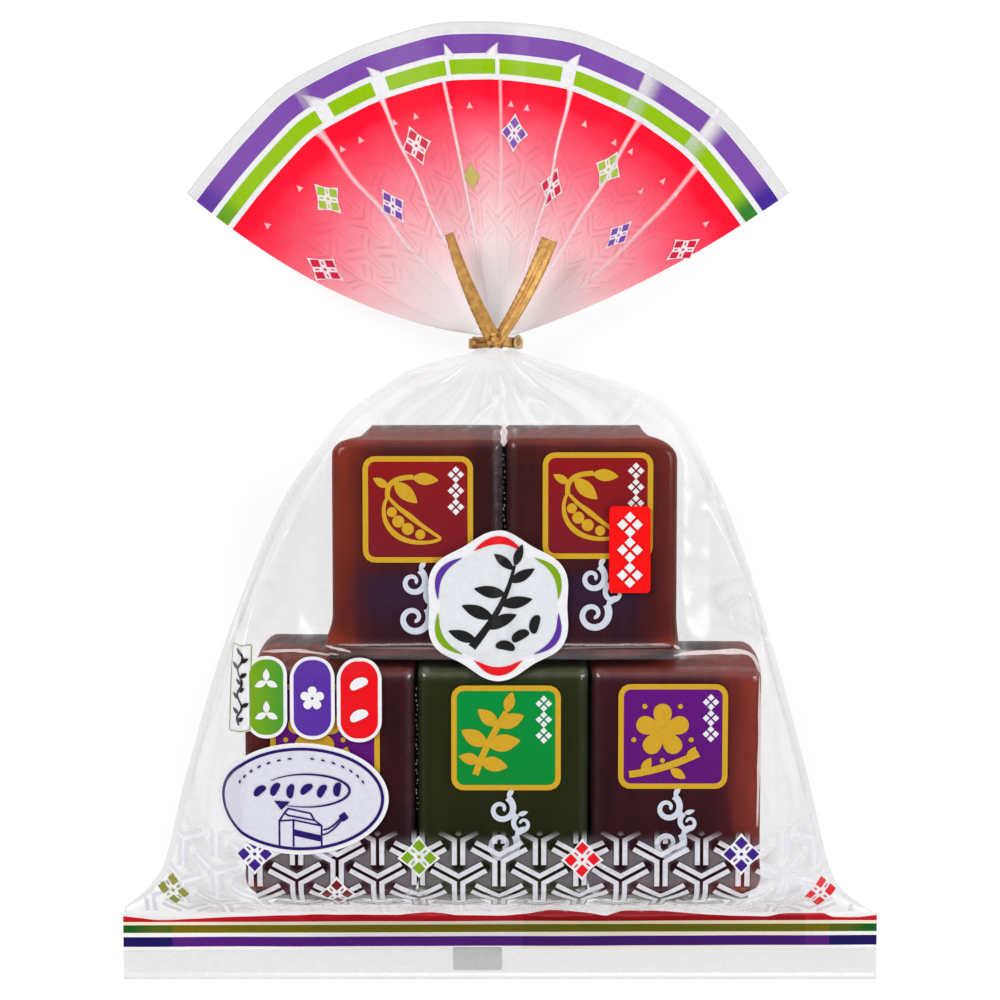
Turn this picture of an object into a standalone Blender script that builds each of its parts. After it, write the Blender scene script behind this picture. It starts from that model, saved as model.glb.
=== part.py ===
"""A clear film gift bag of five wrapped yokan blocks, lying on its back.

The film is tied at the neck with a twist tie and spread above it as a pleated
fan. +Z is up, +Y points to the fan, and the origin is the middle of the
underside. Sizes are in millimetres and become metres where meshes are made.
"""

import math

import bmesh
import bpy
import numpy as np

MM = 0.001

# Overall size
LENGTH = 201.0
WIDTH = 160.0

# One wrapped block: across, along and up
BLOCK_WIDTH = 33.8
BLOCK_LENGTH = 46.0
BLOCK_DEPTH = 27.6

# How the five blocks lie: three below the row joint, two above it
WRAP_GAP = 0.8
BLOCK_PITCH = BLOCK_WIDTH + WRAP_GAP
ROW_JOINT_Y = -28.2
LOWER_ROW_X = 0.6
UPPER_ROW_X = 0.9
LOWER_JOINTS = (LOWER_ROW_X - BLOCK_PITCH / 2, LOWER_ROW_X + BLOCK_PITCH / 2)
LOWER_HALF = BLOCK_PITCH * 1.5
UPPER_HALF = BLOCK_PITCH

# Film pouch round the blocks
FILM_GAP = 0.7
HEM_HEIGHT = 14.2
HEM_THICKNESS = 0.8
EDGE_THICKNESS = 0.6
BACK_CURVE = 7.0
SLOPE_POWER = 1.15
NECK_POWER = 2.0
GROOVE_DEPTH = 1.2
GROOVE_WIDTH = 1.7
GROOVE_FADE = 3.0
END_FADE = 5.5
SHOULDER_SAG = 2.6
SHOULDER_EDGE = 7.0
SHOULDER_LENGTH = 12.0

# Gathered neck
NECK_X = -0.9
NECK_Y = 34.7
NECK_Z = 10.0
NECK_LENGTH = 3.4
NECK_HALF_WIDTH = 4.3
NECK_HALF_HEIGHT = 4.3
NECK_FLAT = 0.8

# Pleated fan above the neck
FAN_CENTRE_X = -2.5
FAN_CENTRE_Y = 28.4
FAN_RADIUS = LENGTH / 2 - FAN_CENTRE_Y
FAN_FOLDS = (-59.2, -36.0, -22.0, -8.5, 1.5, 15.0, 29.5, 42.0, 59.2)
FAN_FLATNESS = 0.6
FAN_SPREAD_AT_NECK = 1.28
FAN_EXTRA_SPREAD = (0.12, -0.07)
FAN_REACH = 29.0
FAN_THICKNESS = 0.8
FAN_RIM_Z = 3.4
PLEAT_RISE = 2.0
PLEAT_POWER = 1.2
GATHER_FADE = 0.10

# Twist tie
TIE_CLEARANCE = 0.4
STRAP_WIDTH = 2.0
STRAP_THICKNESS = 0.8
STRAP_CORNER = 0.2
RIBBON_WIDTH = 3.4
RIBBON_THICKNESS = 0.5
WIRE_DIAMETER = 0.9
KNOT_HALF_SIZE = (2.2, 1.7, 1.3)
KNOT_FORWARD = 0.4
KNOT_SUNK = 0.25
LEFT_BEND = (-6.8, 45.5)
LEFT_TIP = (-10.2, 56.6, 16.2)
LEFT_TURN = (20.0, 62.0)
RIGHT_BEND = (5.6, 44.0)
RIGHT_TIP = (9.9, 55.4, 16.6)
RIGHT_TURN = (50.0, 8.0)

HEM_TOP_Y = -LENGTH / 2 + HEM_HEIGHT
LOWER_END_Y = ROW_JOINT_Y - BLOCK_LENGTH
UPPER_END_Y = ROW_JOINT_Y + BLOCK_LENGTH
POUCH_TOP_Z = BLOCK_DEPTH + FILM_GAP
NECK_START_Y = NECK_Y - NECK_LENGTH / 2
NECK_END_Y = NECK_Y + NECK_LENGTH / 2

# Half width of the pouch against Y, from the hem to the neck
OUTLINE = (
    (HEM_TOP_Y, WIDTH / 2),
    (-84.3, 77.8),
    (-80.5, 73.4),
    (-75.0, 70.0),
    (-58.0, 65.6),
    (-28.0, 57.0),
    (0.0, 46.6),
    (12.0, 39.9),
    (18.0, 35.9),
    (22.0, 31.9),
    (25.5, 26.0),
    (29.0, 17.8),
    (31.4, 10.0),
    (NECK_START_Y, NECK_HALF_WIDTH),
)

# Middle of the pouch against Y: it leans a little towards +X at the upper blocks
MIDDLE = (
    (HEM_TOP_Y, 0.0),
    (-84.3, -1.2),
    (-80.5, -1.25),
    (-75.0, -0.8),
    (-40.0, -0.6),
    (-10.0, 0.2),
    (6.0, 0.9),
    (14.0, 1.9),
    (22.0, 2.6),
    (26.0, 1.4),
    (30.0, -1.6),
    (NECK_START_Y, NECK_X),
)

# Height of the pouch over the blocks against Y
RIDGE = (
    (HEM_TOP_Y, HEM_THICKNESS),
    (-83.5, 6.0),
    (-79.0, 19.0),
    (-76.0, 26.2),
    (LOWER_END_Y, 27.9),
    (-71.5, POUCH_TOP_Z),
    (UPPER_END_Y - 2.5, POUCH_TOP_Z),
    (UPPER_END_Y, 27.9),
    (UPPER_END_Y + 2.2, 26.0),
    (25.0, 20.4),
    (NECK_START_Y, NECK_Z + NECK_HALF_HEIGHT),
)

# Half width of the part of the film that the blocks hold up, against Y
SUPPORT = (
    (HEM_TOP_Y, 60.0),
    (LOWER_END_Y, LOWER_HALF),
    (ROW_JOINT_Y, LOWER_HALF),
    (UPPER_END_Y - 4, UPPER_HALF),
    (UPPER_END_Y, 32.4),
    (UPPER_END_Y + 2.2, 29.6),
    (25.5, 19.0),
    (NECK_START_Y, NECK_FLAT),
)

# Height of the side fold, where front and back film meet, against Y
SIDE_FOLD = (
    (HEM_TOP_Y, HEM_THICKNESS / 2),
    (-80.0, 3.0),
    (-66.0, 5.0),
    (10.0, 6.5),
    (NECK_START_Y, NECK_Z),
)

# Height of the back film above the floor against Y
BACK = (
    (HEM_TOP_Y, 0.0),
    (20.0, 0.0),
    (27.0, 2.2),
    (NECK_START_Y, NECK_Z - NECK_HALF_HEIGHT),
)

# Stations along the pouch
STATIONS = (
    -LENGTH / 2,
    -93.0,
    HEM_TOP_Y,
    -85.3,
    -83.5,
    -81.2,
    -79.0,
    -77.4,
    -76.0,
    LOWER_END_Y,
    -71.5,
    -60.0,
    -46.0,
    -33.0,
    -30.4,
    ROW_JOINT_Y,
    -26.0,
    -23.4,
    -14.0,
    -4.0,
    6.0,
    UPPER_END_Y - 2.5,
    UPPER_END_Y,
    UPPER_END_Y + 2.2,
    22.6,
    25.0,
    27.2,
    29.2,
    30.8,
    32.0,
    NECK_START_Y,
    NECK_END_Y,
)

# Places across the supported film, as shares of its half width
HALF_COLUMNS = (0.03, 0.15, 0.294, 0.334, 0.374, 0.58, 0.82, 1.0)
SLOPE_STEPS = 7
FAN_STEPS = 11
FAN_STEP_POWER = 1.25
LOOP_STEPS = 28
PRONG_STEPS = 9


def along(table, y):
    """Value at y on a smooth line through the table's points, with no overshoot."""
    ys, values = np.array(table, float).T
    slopes = np.diff(values) / np.diff(ys)
    inner = np.where(
        slopes[:-1] * slopes[1:] > 0,
        2 * slopes[:-1] * slopes[1:] / (slopes[:-1] + slopes[1:] + 1e-12),
        0.0,
    )
    tangents = np.concatenate([slopes[:1], inner, slopes[-1:]])
    y = np.clip(y, ys[0], ys[-1])
    k = np.clip(np.searchsorted(ys, y) - 1, 0, len(slopes) - 1)
    step = ys[k + 1] - ys[k]
    u = (y - ys[k]) / step
    return (
        values[k] * (1 + 2 * u) * (1 - u) ** 2
        + values[k + 1] * u**2 * (3 - 2 * u)
        + step * tangents[k] * u * (1 - u) ** 2
        + step * tangents[k + 1] * u**2 * (u - 1)
    )


def bump(value, centre, width):
    """A smooth hump, 1 at the centre and near 0 two widths away."""
    return np.exp(-(((value - centre) / width) ** 2))


def ramp(value, low, high):
    """0 below low, 1 above high and smooth between them."""
    u = np.clip((value - low) / (high - low), 0, 1)
    return u * u * (3 - 2 * u)


def columns():
    """Places across a section: shares of the supported width, then shares of the slope."""
    right = np.array(HALF_COLUMNS)
    held = np.concatenate([-right[::-1], [0.0], right])
    slope = np.arange(1, SLOPE_STEPS + 1) / SLOPE_STEPS
    ones = np.ones(SLOPE_STEPS)
    share = np.concatenate([-ones, held, ones])
    out = np.concatenate([slope[::-1], np.zeros(len(held)), slope])
    return share, out


def film_dip(x, y):
    """How far the front film dips between the blocks and over the empty shoulders."""
    in_lower = 1 - ramp(y, ROW_JOINT_Y - GROOVE_FADE, ROW_JOINT_Y)
    in_lower *= ramp(y, LOWER_END_Y - END_FADE, LOWER_END_Y)
    in_upper = ramp(y, ROW_JOINT_Y, ROW_JOINT_Y + GROOVE_FADE)
    in_upper *= 1 - ramp(y, UPPER_END_Y, UPPER_END_Y + END_FADE)
    lower = sum(bump(x, joint, GROOVE_WIDTH) for joint in LOWER_JOINTS)
    upper = bump(x, UPPER_ROW_X, GROOVE_WIDTH)
    between = bump(y, ROW_JOINT_Y, GROOVE_WIDTH)
    between *= 1 - ramp(abs(x), LOWER_HALF - SHOULDER_LENGTH, LOWER_HALF)
    empty = ramp(abs(x - UPPER_ROW_X), UPPER_HALF, UPPER_HALF + SHOULDER_EDGE)
    empty *= in_upper * ramp(y, ROW_JOINT_Y, ROW_JOINT_Y + SHOULDER_LENGTH)
    groove = lower * in_lower + upper * in_upper + between
    return GROOVE_DEPTH * groove + SHOULDER_SAG * empty


def pouch_section(y):
    """Points of the front and the back film at y, from the left side fold to the right.

    The front is level over the blocks and falls to the side fold along a
    superellipse. The back is flat and curls up to the fold in a quarter ellipse.
    """
    share, out = columns()
    side = np.sign(share)
    to_neck = ramp(y, UPPER_END_Y, NECK_START_Y)
    to_upper = ramp(y, ROW_JOINT_Y, 0)
    centre = along(MIDDLE, y)
    row = LOWER_ROW_X * ramp(y, HEM_TOP_Y, LOWER_END_Y)
    row += (UPPER_ROW_X - LOWER_ROW_X) * to_upper + (NECK_X - UPPER_ROW_X) * to_neck
    half = along(OUTLINE, y)
    held = along(SUPPORT, y)
    fold = along(SIDE_FOLD, y)
    top = along(RIDGE, y)
    back = along(BACK, y)
    inner = row + share * held
    x = inner + out * (centre + side * half - inner)
    power = SLOPE_POWER + (NECK_POWER - SLOPE_POWER) * to_neck
    front = fold + (top - fold) * (1 - out**power) ** (1 / power)
    front -= film_dip(x, y) * (1 - out) * ramp(top, NECK_Z, POUCH_TOP_Z)
    curl = BACK_CURVE + (NECK_HALF_WIDTH - BACK_CURVE) * to_neck
    reach = np.clip((abs(x - centre) - (half - curl)) / curl, 0, 1)
    behind = fold - (fold - back) * np.sqrt(1 - reach**2)
    front = np.maximum(front, fold + EDGE_THICKNESS / 2)
    behind = np.minimum(behind, fold - EDGE_THICKNESS / 2)
    if y <= HEM_TOP_Y:
        front = np.full_like(x, HEM_THICKNESS)
        behind = np.zeros_like(x)
    behind = np.maximum(behind, 0.0)
    level = np.full_like(x, y)
    return np.stack([x, level, front], 1), np.stack([x, level, behind], 1)


def fan_angles(count):
    """Angle of each column of the fan, so that every fold falls on a column, and its rise."""
    folds = np.array(FAN_FOLDS)
    at = np.round(np.linspace(0, count - 1, len(folds)))
    rises = np.where(np.arange(len(folds)) % 2 == 1, 1.0, -1.0)
    rises[[0, -1]] = 0.0
    index = np.arange(count)
    return np.interp(index, at, folds), np.interp(index, at, rises)


def rim_radius(angles):
    """Radius of the rim, which is a little flatter than a circle between two folds."""
    folds = np.array(FAN_FOLDS)
    k = np.clip(np.searchsorted(folds, angles, side="right") - 1, 0, len(folds) - 2)
    middle = (folds[k] + folds[k + 1]) / 2
    half = (folds[k + 1] - folds[k]) / 2
    chord = np.cos(np.radians(half)) / np.cos(np.radians(angles - middle))
    return FAN_RADIUS * (1 - FAN_FLATNESS * (1 - chord))


def fan_section(v, neck_front, neck_back):
    """Points of the fan's front and back at a share v of the way from neck to rim.

    Each column runs on a quadratic curve: out of the neck at a wide angle, then
    bending up to its place on the rim. The gathered film thins out along it.
    """
    angles, rises = fan_angles(len(neck_front))
    turn = np.radians(angles)
    share = angles / FAN_FOLDS[-1]
    extra = np.where(share < 0, *FAN_EXTRA_SPREAD)
    lean = turn * (FAN_SPREAD_AT_NECK + extra * share**2)
    start = neck_front[:, :2]
    pull = start + FAN_REACH * np.stack([np.sin(lean), np.cos(lean)], 1)
    rim = rim_radius(angles)[:, None] * np.stack([np.sin(turn), np.cos(turn)], 1)
    rim += (FAN_CENTRE_X, FAN_CENTRE_Y)
    place = start * (1 - v) ** 2 + pull * 2 * v * (1 - v) + rim * v**2
    fade = math.exp(-v / GATHER_FADE)
    gathered = (neck_front[:, 2] - neck_back[:, 2]) / 2
    half = FAN_THICKNESS / 2 + np.maximum(gathered - FAN_THICKNESS / 2, 0) * fade
    middle = NECK_Z + (FAN_RIM_Z - NECK_Z) * v + PLEAT_RISE * rises * v**PLEAT_POWER
    front = np.column_stack([place, middle + half])
    return front, np.column_stack([place, middle - half])


def loft(name, fronts, backs):
    """One closed skin over rows of front points and rows of back points."""
    rows, count = len(fronts), len(fronts[0])
    points = np.concatenate([np.concatenate(fronts), np.concatenate(backs)]) * MM
    index = np.arange(rows * count).reshape(rows, count)
    under = index + rows * count
    faces = []
    for grid, flip in ((index, False), (under, True)):
        quads = np.stack(
            [grid[:-1, :-1], grid[:-1, 1:], grid[1:, 1:], grid[1:, :-1]], -1
        ).reshape(-1, 4)
        faces += (quads[:, ::-1] if flip else quads).tolist()
    for edge, other, flip in (
        (index[:, 0], under[:, 0], False),
        (index[:, -1], under[:, -1], True),
        (index[0], under[0], True),
        (index[-1], under[-1], False),
    ):
        wall = np.stack([edge[:-1], edge[1:], other[1:], other[:-1]], -1)
        faces += (wall[:, ::-1] if flip else wall).tolist()
    mesh = bpy.data.meshes.new(name)
    mesh.from_pydata(points.tolist(), [], faces)
    shape = bmesh.new()
    shape.from_mesh(mesh)
    bmesh.ops.recalc_face_normals(shape, faces=shape.faces)
    bmesh.ops.triangulate(shape, faces=shape.faces)
    shape.to_mesh(mesh)
    shape.free()
    mesh.shade_smooth()
    mesh.set_sharp_from_angle(angle=math.radians(40))
    return bpy.data.objects.new(name, mesh)


def finish(obj, collection, colour, roughness, metallic=0.0, alpha=1.0):
    """Links the object and gives it a material of its own."""
    collection.objects.link(obj)
    material = bpy.data.materials.new(obj.name)
    material.use_nodes = True
    shader = material.node_tree.nodes["Principled BSDF"]
    shader.inputs["Base Color"].default_value = (*colour, 1.0)
    shader.inputs["Roughness"].default_value = roughness
    shader.inputs["Metallic"].default_value = metallic
    shader.inputs["Alpha"].default_value = alpha
    obj.data.materials.append(material)


def make_bag(collection):
    """The film bag as one solid: flat hem, full pouch, gathered neck and pleated fan."""
    sections = [pouch_section(y) for y in STATIONS]
    neck_front, neck_back = sections[-1]
    for k in range(1, FAN_STEPS + 1):
        share = (k / FAN_STEPS) ** FAN_STEP_POWER
        sections.append(fan_section(share, neck_front, neck_back))
    fronts = [front for front, _ in sections]
    backs = [behind for _, behind in sections]
    bag = loft("bag", fronts, backs)
    finish(bag, collection, (0.90, 0.91, 0.93), 0.14, alpha=0.45)


def profile_curve(name, points, guides):
    """A closed flat outline that a ribbon's curve carries along its path."""
    curve = bpy.data.curves.new(name, "CURVE")
    curve.dimensions = "2D"
    spline = curve.splines.new("POLY")
    spline.points.add(len(points) - 1)
    for point, (x, y) in zip(spline.points, points):
        point.co = (x * MM, y * MM, 0, 1)
    spline.use_cyclic_u = True
    guide = bpy.data.objects.new(name, curve)
    guide.hide_render = True
    guide.display_type = "WIRE"
    guides.objects.link(guide)
    return guide


def swept(name, path, profile, turns, closed, guides):
    """A mesh of the profile carried along the path, turned by the given angles."""
    curve = bpy.data.curves.new(name, "CURVE")
    curve.dimensions = "3D"
    curve.twist_mode = "MINIMUM" if closed else "Z_UP"
    curve.bevel_mode = "OBJECT"
    curve.bevel_object = profile
    curve.use_fill_caps = not closed
    spline = curve.splines.new("POLY")
    spline.points.add(len(path) - 1)
    for point, place, turn in zip(spline.points, path, turns):
        point.co = (*(float(value) * MM for value in place), 1)
        point.tilt = math.radians(float(turn))
    spline.use_cyclic_u = closed
    source = bpy.data.objects.new(name, curve)
    guides.objects.link(source)
    bpy.context.view_layer.update()
    graph = bpy.context.evaluated_depsgraph_get()
    mesh = bpy.data.meshes.new_from_object(source.evaluated_get(graph))
    bpy.data.objects.remove(source)
    shape = bmesh.new()
    shape.from_mesh(mesh)
    bmesh.ops.remove_doubles(shape, verts=shape.verts, dist=1e-6)
    bmesh.ops.recalc_face_normals(shape, faces=shape.faces)
    shape.to_mesh(mesh)
    shape.free()
    mesh.materials.clear()
    piece = bpy.data.objects.new(name, mesh)
    guides.objects.link(piece)
    piece.hide_render = True
    piece.display_type = "WIRE"
    return piece


def mirrored(quarter):
    """A closed outline from its first quarter, which runs from the right edge to the top."""
    upper = quarter + [(-x, y) for x, y in quarter[::-1]]
    return upper + [(x, -y) for x, y in upper[::-1]]


def ribbon_points():
    """Cross-section of the foil ribbon: thin edges with a wire down the middle."""
    edge, thin, wire = RIBBON_WIDTH / 2, RIBBON_THICKNESS / 2, WIRE_DIAMETER / 2
    return mirrored([(edge, thin * 0.4), (edge * 0.9, thin), (wire, thin), (wire * 0.5, wire)])


def strap_points():
    """Cross-section of the pressed strap: a rectangle with its corners cut."""
    across, up = STRAP_WIDTH / 2, STRAP_THICKNESS / 2
    return mirrored([(across, up - STRAP_CORNER), (across - STRAP_CORNER, up)])


def bent(start, middle, end, count):
    """Points of a quadratic curve that leaves start towards middle and arrives at end."""
    v = np.linspace(0, 1, count)[:, None]
    start, middle, end = (np.array(place, float) for place in (start, middle, end))
    return start * (1 - v) ** 2 + middle * 2 * v * (1 - v) + end * v**2


def make_tie(collection, guides):
    """The twist tie as one solid: strap round the neck, knot and two spread prongs."""
    across = NECK_HALF_WIDTH + TIE_CLEARANCE + STRAP_THICKNESS / 2
    up = NECK_HALF_HEIGHT + TIE_CLEARANCE + STRAP_THICKNESS / 2
    turn = np.linspace(0, 2 * math.pi, LOOP_STEPS, endpoint=False)
    loop = np.column_stack(
        [NECK_X + across * np.sin(turn), np.full_like(turn, NECK_Y), NECK_Z + up * np.cos(turn)]
    )
    strap_outline = profile_curve("strap outline", strap_points(), guides)
    ribbon_outline = profile_curve("ribbon outline", ribbon_points(), guides)
    strap = swept("twist_tie", loop, strap_outline, np.zeros(len(loop)), True, guides)
    knot_z = NECK_Z + up + KNOT_HALF_SIZE[2] * (1 - KNOT_SUNK)
    knot = (NECK_X, NECK_Y + KNOT_FORWARD, knot_z)
    prongs = []
    for name, bend, tip, turns in (
        ("left prong", LEFT_BEND, LEFT_TIP, LEFT_TURN),
        ("right prong", RIGHT_BEND, RIGHT_TIP, RIGHT_TURN),
    ):
        path = bent(knot, (*bend, knot_z), tip, PRONG_STEPS)
        angles = np.linspace(*turns, PRONG_STEPS)
        prongs.append(swept(name, path, ribbon_outline, angles, False, guides))
    shape = bmesh.new()
    bmesh.ops.create_uvsphere(shape, u_segments=12, v_segments=8, radius=MM)
    bmesh.ops.scale(shape, vec=KNOT_HALF_SIZE, verts=shape.verts)
    bmesh.ops.translate(shape, vec=[value * MM for value in knot], verts=shape.verts)
    ball = bpy.data.meshes.new("knot")
    shape.to_mesh(ball)
    shape.free()
    cutters = bpy.data.collections.new("tie pieces")
    bpy.context.scene.collection.children.link(cutters)
    for piece in (*prongs, bpy.data.objects.new("knot", ball)):
        cutters.objects.link(piece)
        piece.hide_render = True
        piece.display_type = "WIRE"
    join = strap.modifiers.new("join", "BOOLEAN")
    join.operation = "UNION"
    join.solver = "MANIFOLD"
    join.operand_type = "COLLECTION"
    join.collection = cutters
    guides.objects.unlink(strap)
    strap.hide_render = False
    strap.display_type = "TEXTURED"
    finish(strap, collection, (0.72, 0.47, 0.14), 0.32, metallic=0.85)


def main():
    for old in list(bpy.data.objects):
        bpy.data.objects.remove(old)
    scene = bpy.context.scene
    scene.unit_settings.system = "METRIC"
    pack = bpy.data.collections.new("yokan gift bag")
    guides = bpy.data.collections.new("guides")
    scene.collection.children.link(pack)
    scene.collection.children.link(guides)
    make_bag(pack)
    make_tie(pack, guides)


main()
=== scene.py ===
"""The looks of a clear film gift bag of five wrapped yokan blocks.

The bag lies on its back: +Z is up, +Y points from the flat hem to the fan. Sizes
are in millimetres and become metres where a mesh is made. Every shape is worked
out with numpy as a surface of two parameters or a profile along a path.
"""

import math

import bmesh
import bpy
import numpy as np
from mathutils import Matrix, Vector


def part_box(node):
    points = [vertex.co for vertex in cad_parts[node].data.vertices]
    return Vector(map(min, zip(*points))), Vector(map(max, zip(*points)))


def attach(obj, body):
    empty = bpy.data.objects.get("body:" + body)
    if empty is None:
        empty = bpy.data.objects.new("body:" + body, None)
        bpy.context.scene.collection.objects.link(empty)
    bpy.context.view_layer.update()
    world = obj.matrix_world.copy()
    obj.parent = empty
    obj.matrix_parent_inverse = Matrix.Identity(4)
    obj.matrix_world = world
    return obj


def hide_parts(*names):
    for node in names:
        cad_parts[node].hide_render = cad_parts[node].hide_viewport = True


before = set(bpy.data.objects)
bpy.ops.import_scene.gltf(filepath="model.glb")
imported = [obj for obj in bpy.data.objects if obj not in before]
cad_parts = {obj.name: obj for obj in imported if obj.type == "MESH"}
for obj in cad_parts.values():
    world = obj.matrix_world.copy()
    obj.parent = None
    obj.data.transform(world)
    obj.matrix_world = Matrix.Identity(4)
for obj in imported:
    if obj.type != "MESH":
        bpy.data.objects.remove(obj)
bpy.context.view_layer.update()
MM = 0.001

# Overall size, from the frame
BAG_LOW, BAG_HIGH = (np.array(corner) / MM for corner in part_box("bag"))
LENGTH = BAG_HIGH[1] - BAG_LOW[1]
WIDTH = BAG_HIGH[0] - BAG_LOW[0]

# One wrapped block and the places of the five
BLOCK_WIDTH = 33.8
BLOCK_LENGTH = 46.0
BLOCK_DEPTH = 27.6
WRAP_GAP = 0.8
BLOCK_PITCH = BLOCK_WIDTH + WRAP_GAP
ROW_JOINT_Y = -28.2
LOWER_ROW_X = 0.6
UPPER_ROW_X = 0.9
LOWER_JOINTS = (LOWER_ROW_X - BLOCK_PITCH / 2, LOWER_ROW_X + BLOCK_PITCH / 2)
LOWER_HALF = BLOCK_PITCH * 1.5
UPPER_HALF = BLOCK_PITCH

# Film pouch
FILM_GAP = 0.7
HEM_HEIGHT = 14.2
HEM_THICKNESS = 0.8
EDGE_THICKNESS = 0.6
BACK_CURVE = 7.0
SLOPE_POWER = 1.15
NECK_POWER = 2.0
GROOVE_DEPTH = 1.2
GROOVE_WIDTH = 1.7
GROOVE_FADE = 3.0
END_FADE = 5.5
SHOULDER_SAG = 2.6
SHOULDER_EDGE = 7.0
SHOULDER_LENGTH = 12.0
# Share of the film's width that lies over the blocks
HELD_SHARE = 0.68

# Gathered neck
NECK_X = -0.9
NECK_Y = 34.7
NECK_Z = 10.0
NECK_LENGTH = 3.4
NECK_HALF_WIDTH = 4.3
NECK_HALF_HEIGHT = 4.3
NECK_FLAT = 0.8

# Pleated fan
FAN_CENTRE = np.array([-2.5, 28.4])
FAN_RADIUS = LENGTH / 2 - FAN_CENTRE[1]
FAN_FOLDS = (-59.2, -36.0, -22.0, -8.5, 1.5, 15.0, 29.5, 42.0, 59.2)
FAN_FLATNESS = 0.6
FAN_HALF_ANGLE = FAN_FOLDS[-1]
FAN_SPREAD_AT_NECK = 1.28
FAN_EXTRA_SPREAD = (0.12, -0.07)
FAN_ROUNDING = (-2.6, -1.3, 0.0, 1.3, 2.6)
FAN_REACH = 29.0
FAN_THICKNESS = 0.8
FAN_RIM_Z = 3.4
PLEAT_RISE = 2.0
PLEAT_POWER = 1.2
GATHER_FADE = 0.10

HEM_TOP_Y = -LENGTH / 2 + HEM_HEIGHT
LOWER_END_Y = ROW_JOINT_Y - BLOCK_LENGTH
UPPER_END_Y = ROW_JOINT_Y + BLOCK_LENGTH
POUCH_TOP_Z = BLOCK_DEPTH + FILM_GAP
NECK_START_Y = NECK_Y - NECK_LENGTH / 2
NECK_END_Y = NECK_Y + NECK_LENGTH / 2

# Measures of the pouch against Y: half width, middle, height, held half width, side fold, back
OUTLINE = (
    (HEM_TOP_Y, WIDTH / 2), (-84.3, 77.8), (-80.5, 73.4), (-75.0, 70.0), (-58.0, 65.6),
    (-28.0, 57.0), (0.0, 46.6), (12.0, 39.9), (18.0, 35.9), (22.0, 31.9), (25.5, 26.0),
    (29.0, 17.8), (31.4, 10.0), (NECK_START_Y, NECK_HALF_WIDTH),
)
MIDDLE = (
    (HEM_TOP_Y, 0.0), (-84.3, -1.2), (-80.5, -1.25), (-75.0, -0.8), (-40.0, -0.6),
    (-10.0, 0.2), (6.0, 0.9), (14.0, 1.9), (22.0, 2.6), (26.0, 1.4), (30.0, -1.6),
    (NECK_START_Y, NECK_X),
)
RIDGE = (
    (HEM_TOP_Y, HEM_THICKNESS), (-83.5, 6.0), (-79.0, 19.0), (-76.0, 26.2),
    (LOWER_END_Y, 27.9), (-71.5, POUCH_TOP_Z), (UPPER_END_Y - 2.5, POUCH_TOP_Z),
    (UPPER_END_Y, 27.9), (UPPER_END_Y + 2.2, 26.0), (25.0, 20.4),
    (NECK_START_Y, NECK_Z + NECK_HALF_HEIGHT),
)
SUPPORT = (
    (HEM_TOP_Y, 60.0), (LOWER_END_Y, LOWER_HALF), (ROW_JOINT_Y, LOWER_HALF),
    (UPPER_END_Y - 4, UPPER_HALF), (UPPER_END_Y, 32.4), (UPPER_END_Y + 2.2, 29.6),
    (25.5, 19.0), (NECK_START_Y, NECK_FLAT),
)
SIDE_FOLD = (
    (HEM_TOP_Y, HEM_THICKNESS / 2), (-80.0, 3.0), (-66.0, 5.0), (10.0, 6.5),
    (NECK_START_Y, NECK_Z),
)
BACK = (
    (HEM_TOP_Y, 0.0), (20.0, 0.0), (27.0, 2.2), (NECK_START_Y, NECK_Z - NECK_HALF_HEIGHT),
)

# Share of each kind of fold in the film's height (millimetres), its painted highlight and its painted
# shade
FOLD_HEIGHT = {"neck": 0.26, "side": 0.42, "end": 0.20, "sharp": 0.35, "soft": 0.26, "fine": 0.10}
FOLD_HIGHLIGHT = {"neck": 0.17, "side": 0.30, "streak": 0.16, "end": 0.26, "sharp": 0.32, "fine": 0.10}
FOLD_SHADE = {"neck": 0.12, "side": 0.19, "soft": 0.10}


# Helpers for numbers

# Number of sine waves in a crinkle
WAVES = 9


def along(table, y):
    """Value at y on a smooth line through the table's points, with no overshoot."""
    ys, values = np.array(table, float).T
    slopes = np.diff(values) / np.diff(ys)
    inner = np.where(
        slopes[:-1] * slopes[1:] > 0,
        2 * slopes[:-1] * slopes[1:] / (slopes[:-1] + slopes[1:] + 1e-12),
        0.0,
    )
    tangents = np.concatenate([slopes[:1], inner, slopes[-1:]])
    y = np.clip(y, ys[0], ys[-1])
    k = np.clip(np.searchsorted(ys, y) - 1, 0, len(slopes) - 1)
    step = ys[k + 1] - ys[k]
    u = (y - ys[k]) / step
    return (
        values[k] * (1 + 2 * u) * (1 - u) ** 2
        + values[k + 1] * u**2 * (3 - 2 * u)
        + step * tangents[k] * u * (1 - u) ** 2
        + step * tangents[k + 1] * u**2 * (u - 1)
    )


def bump(value, centre, width):
    """exp(-((value - centre) / width)^2): a smooth hump."""
    return np.exp(-(((value - centre) / width) ** 2))


def ramp(value, low, high):
    """3u^2 - 2u^3 of the clipped share u: 0 below low, 1 above high."""
    u = np.clip((value - low) / (high - low), 0, 1)
    return u * u * (3 - 2 * u)


def window(value, low, high, edge):
    """1 between low and high, falling smoothly to 0 over edge outside them."""
    return ramp(value, low - edge, low) * (1 - ramp(value, high, high + edge))


def crinkle(x, y, size, seed):
    """Mean of plane sine waves of about the given wavelength in random directions, -1 to 1."""
    draw = np.random.default_rng(seed)
    total = 0.0
    for turn, stretch, phase in zip(
        draw.uniform(0, math.pi, WAVES), draw.uniform(0.7, 1.5, WAVES), draw.uniform(0, 6.3, WAVES)
    ):
        wave = 2 * math.pi / (size * stretch)
        total = total + np.sin(wave * (x * math.cos(turn) + y * math.sin(turn)) + phase)
    return total / math.sqrt(WAVES) / 1.6


def crease(angle, sharp):
    """(1 - |sin angle|)^sharp: thin ridges with flat valleys between them, once every half turn."""
    return (1 - np.abs(np.sin(angle))) ** sharp


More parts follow.
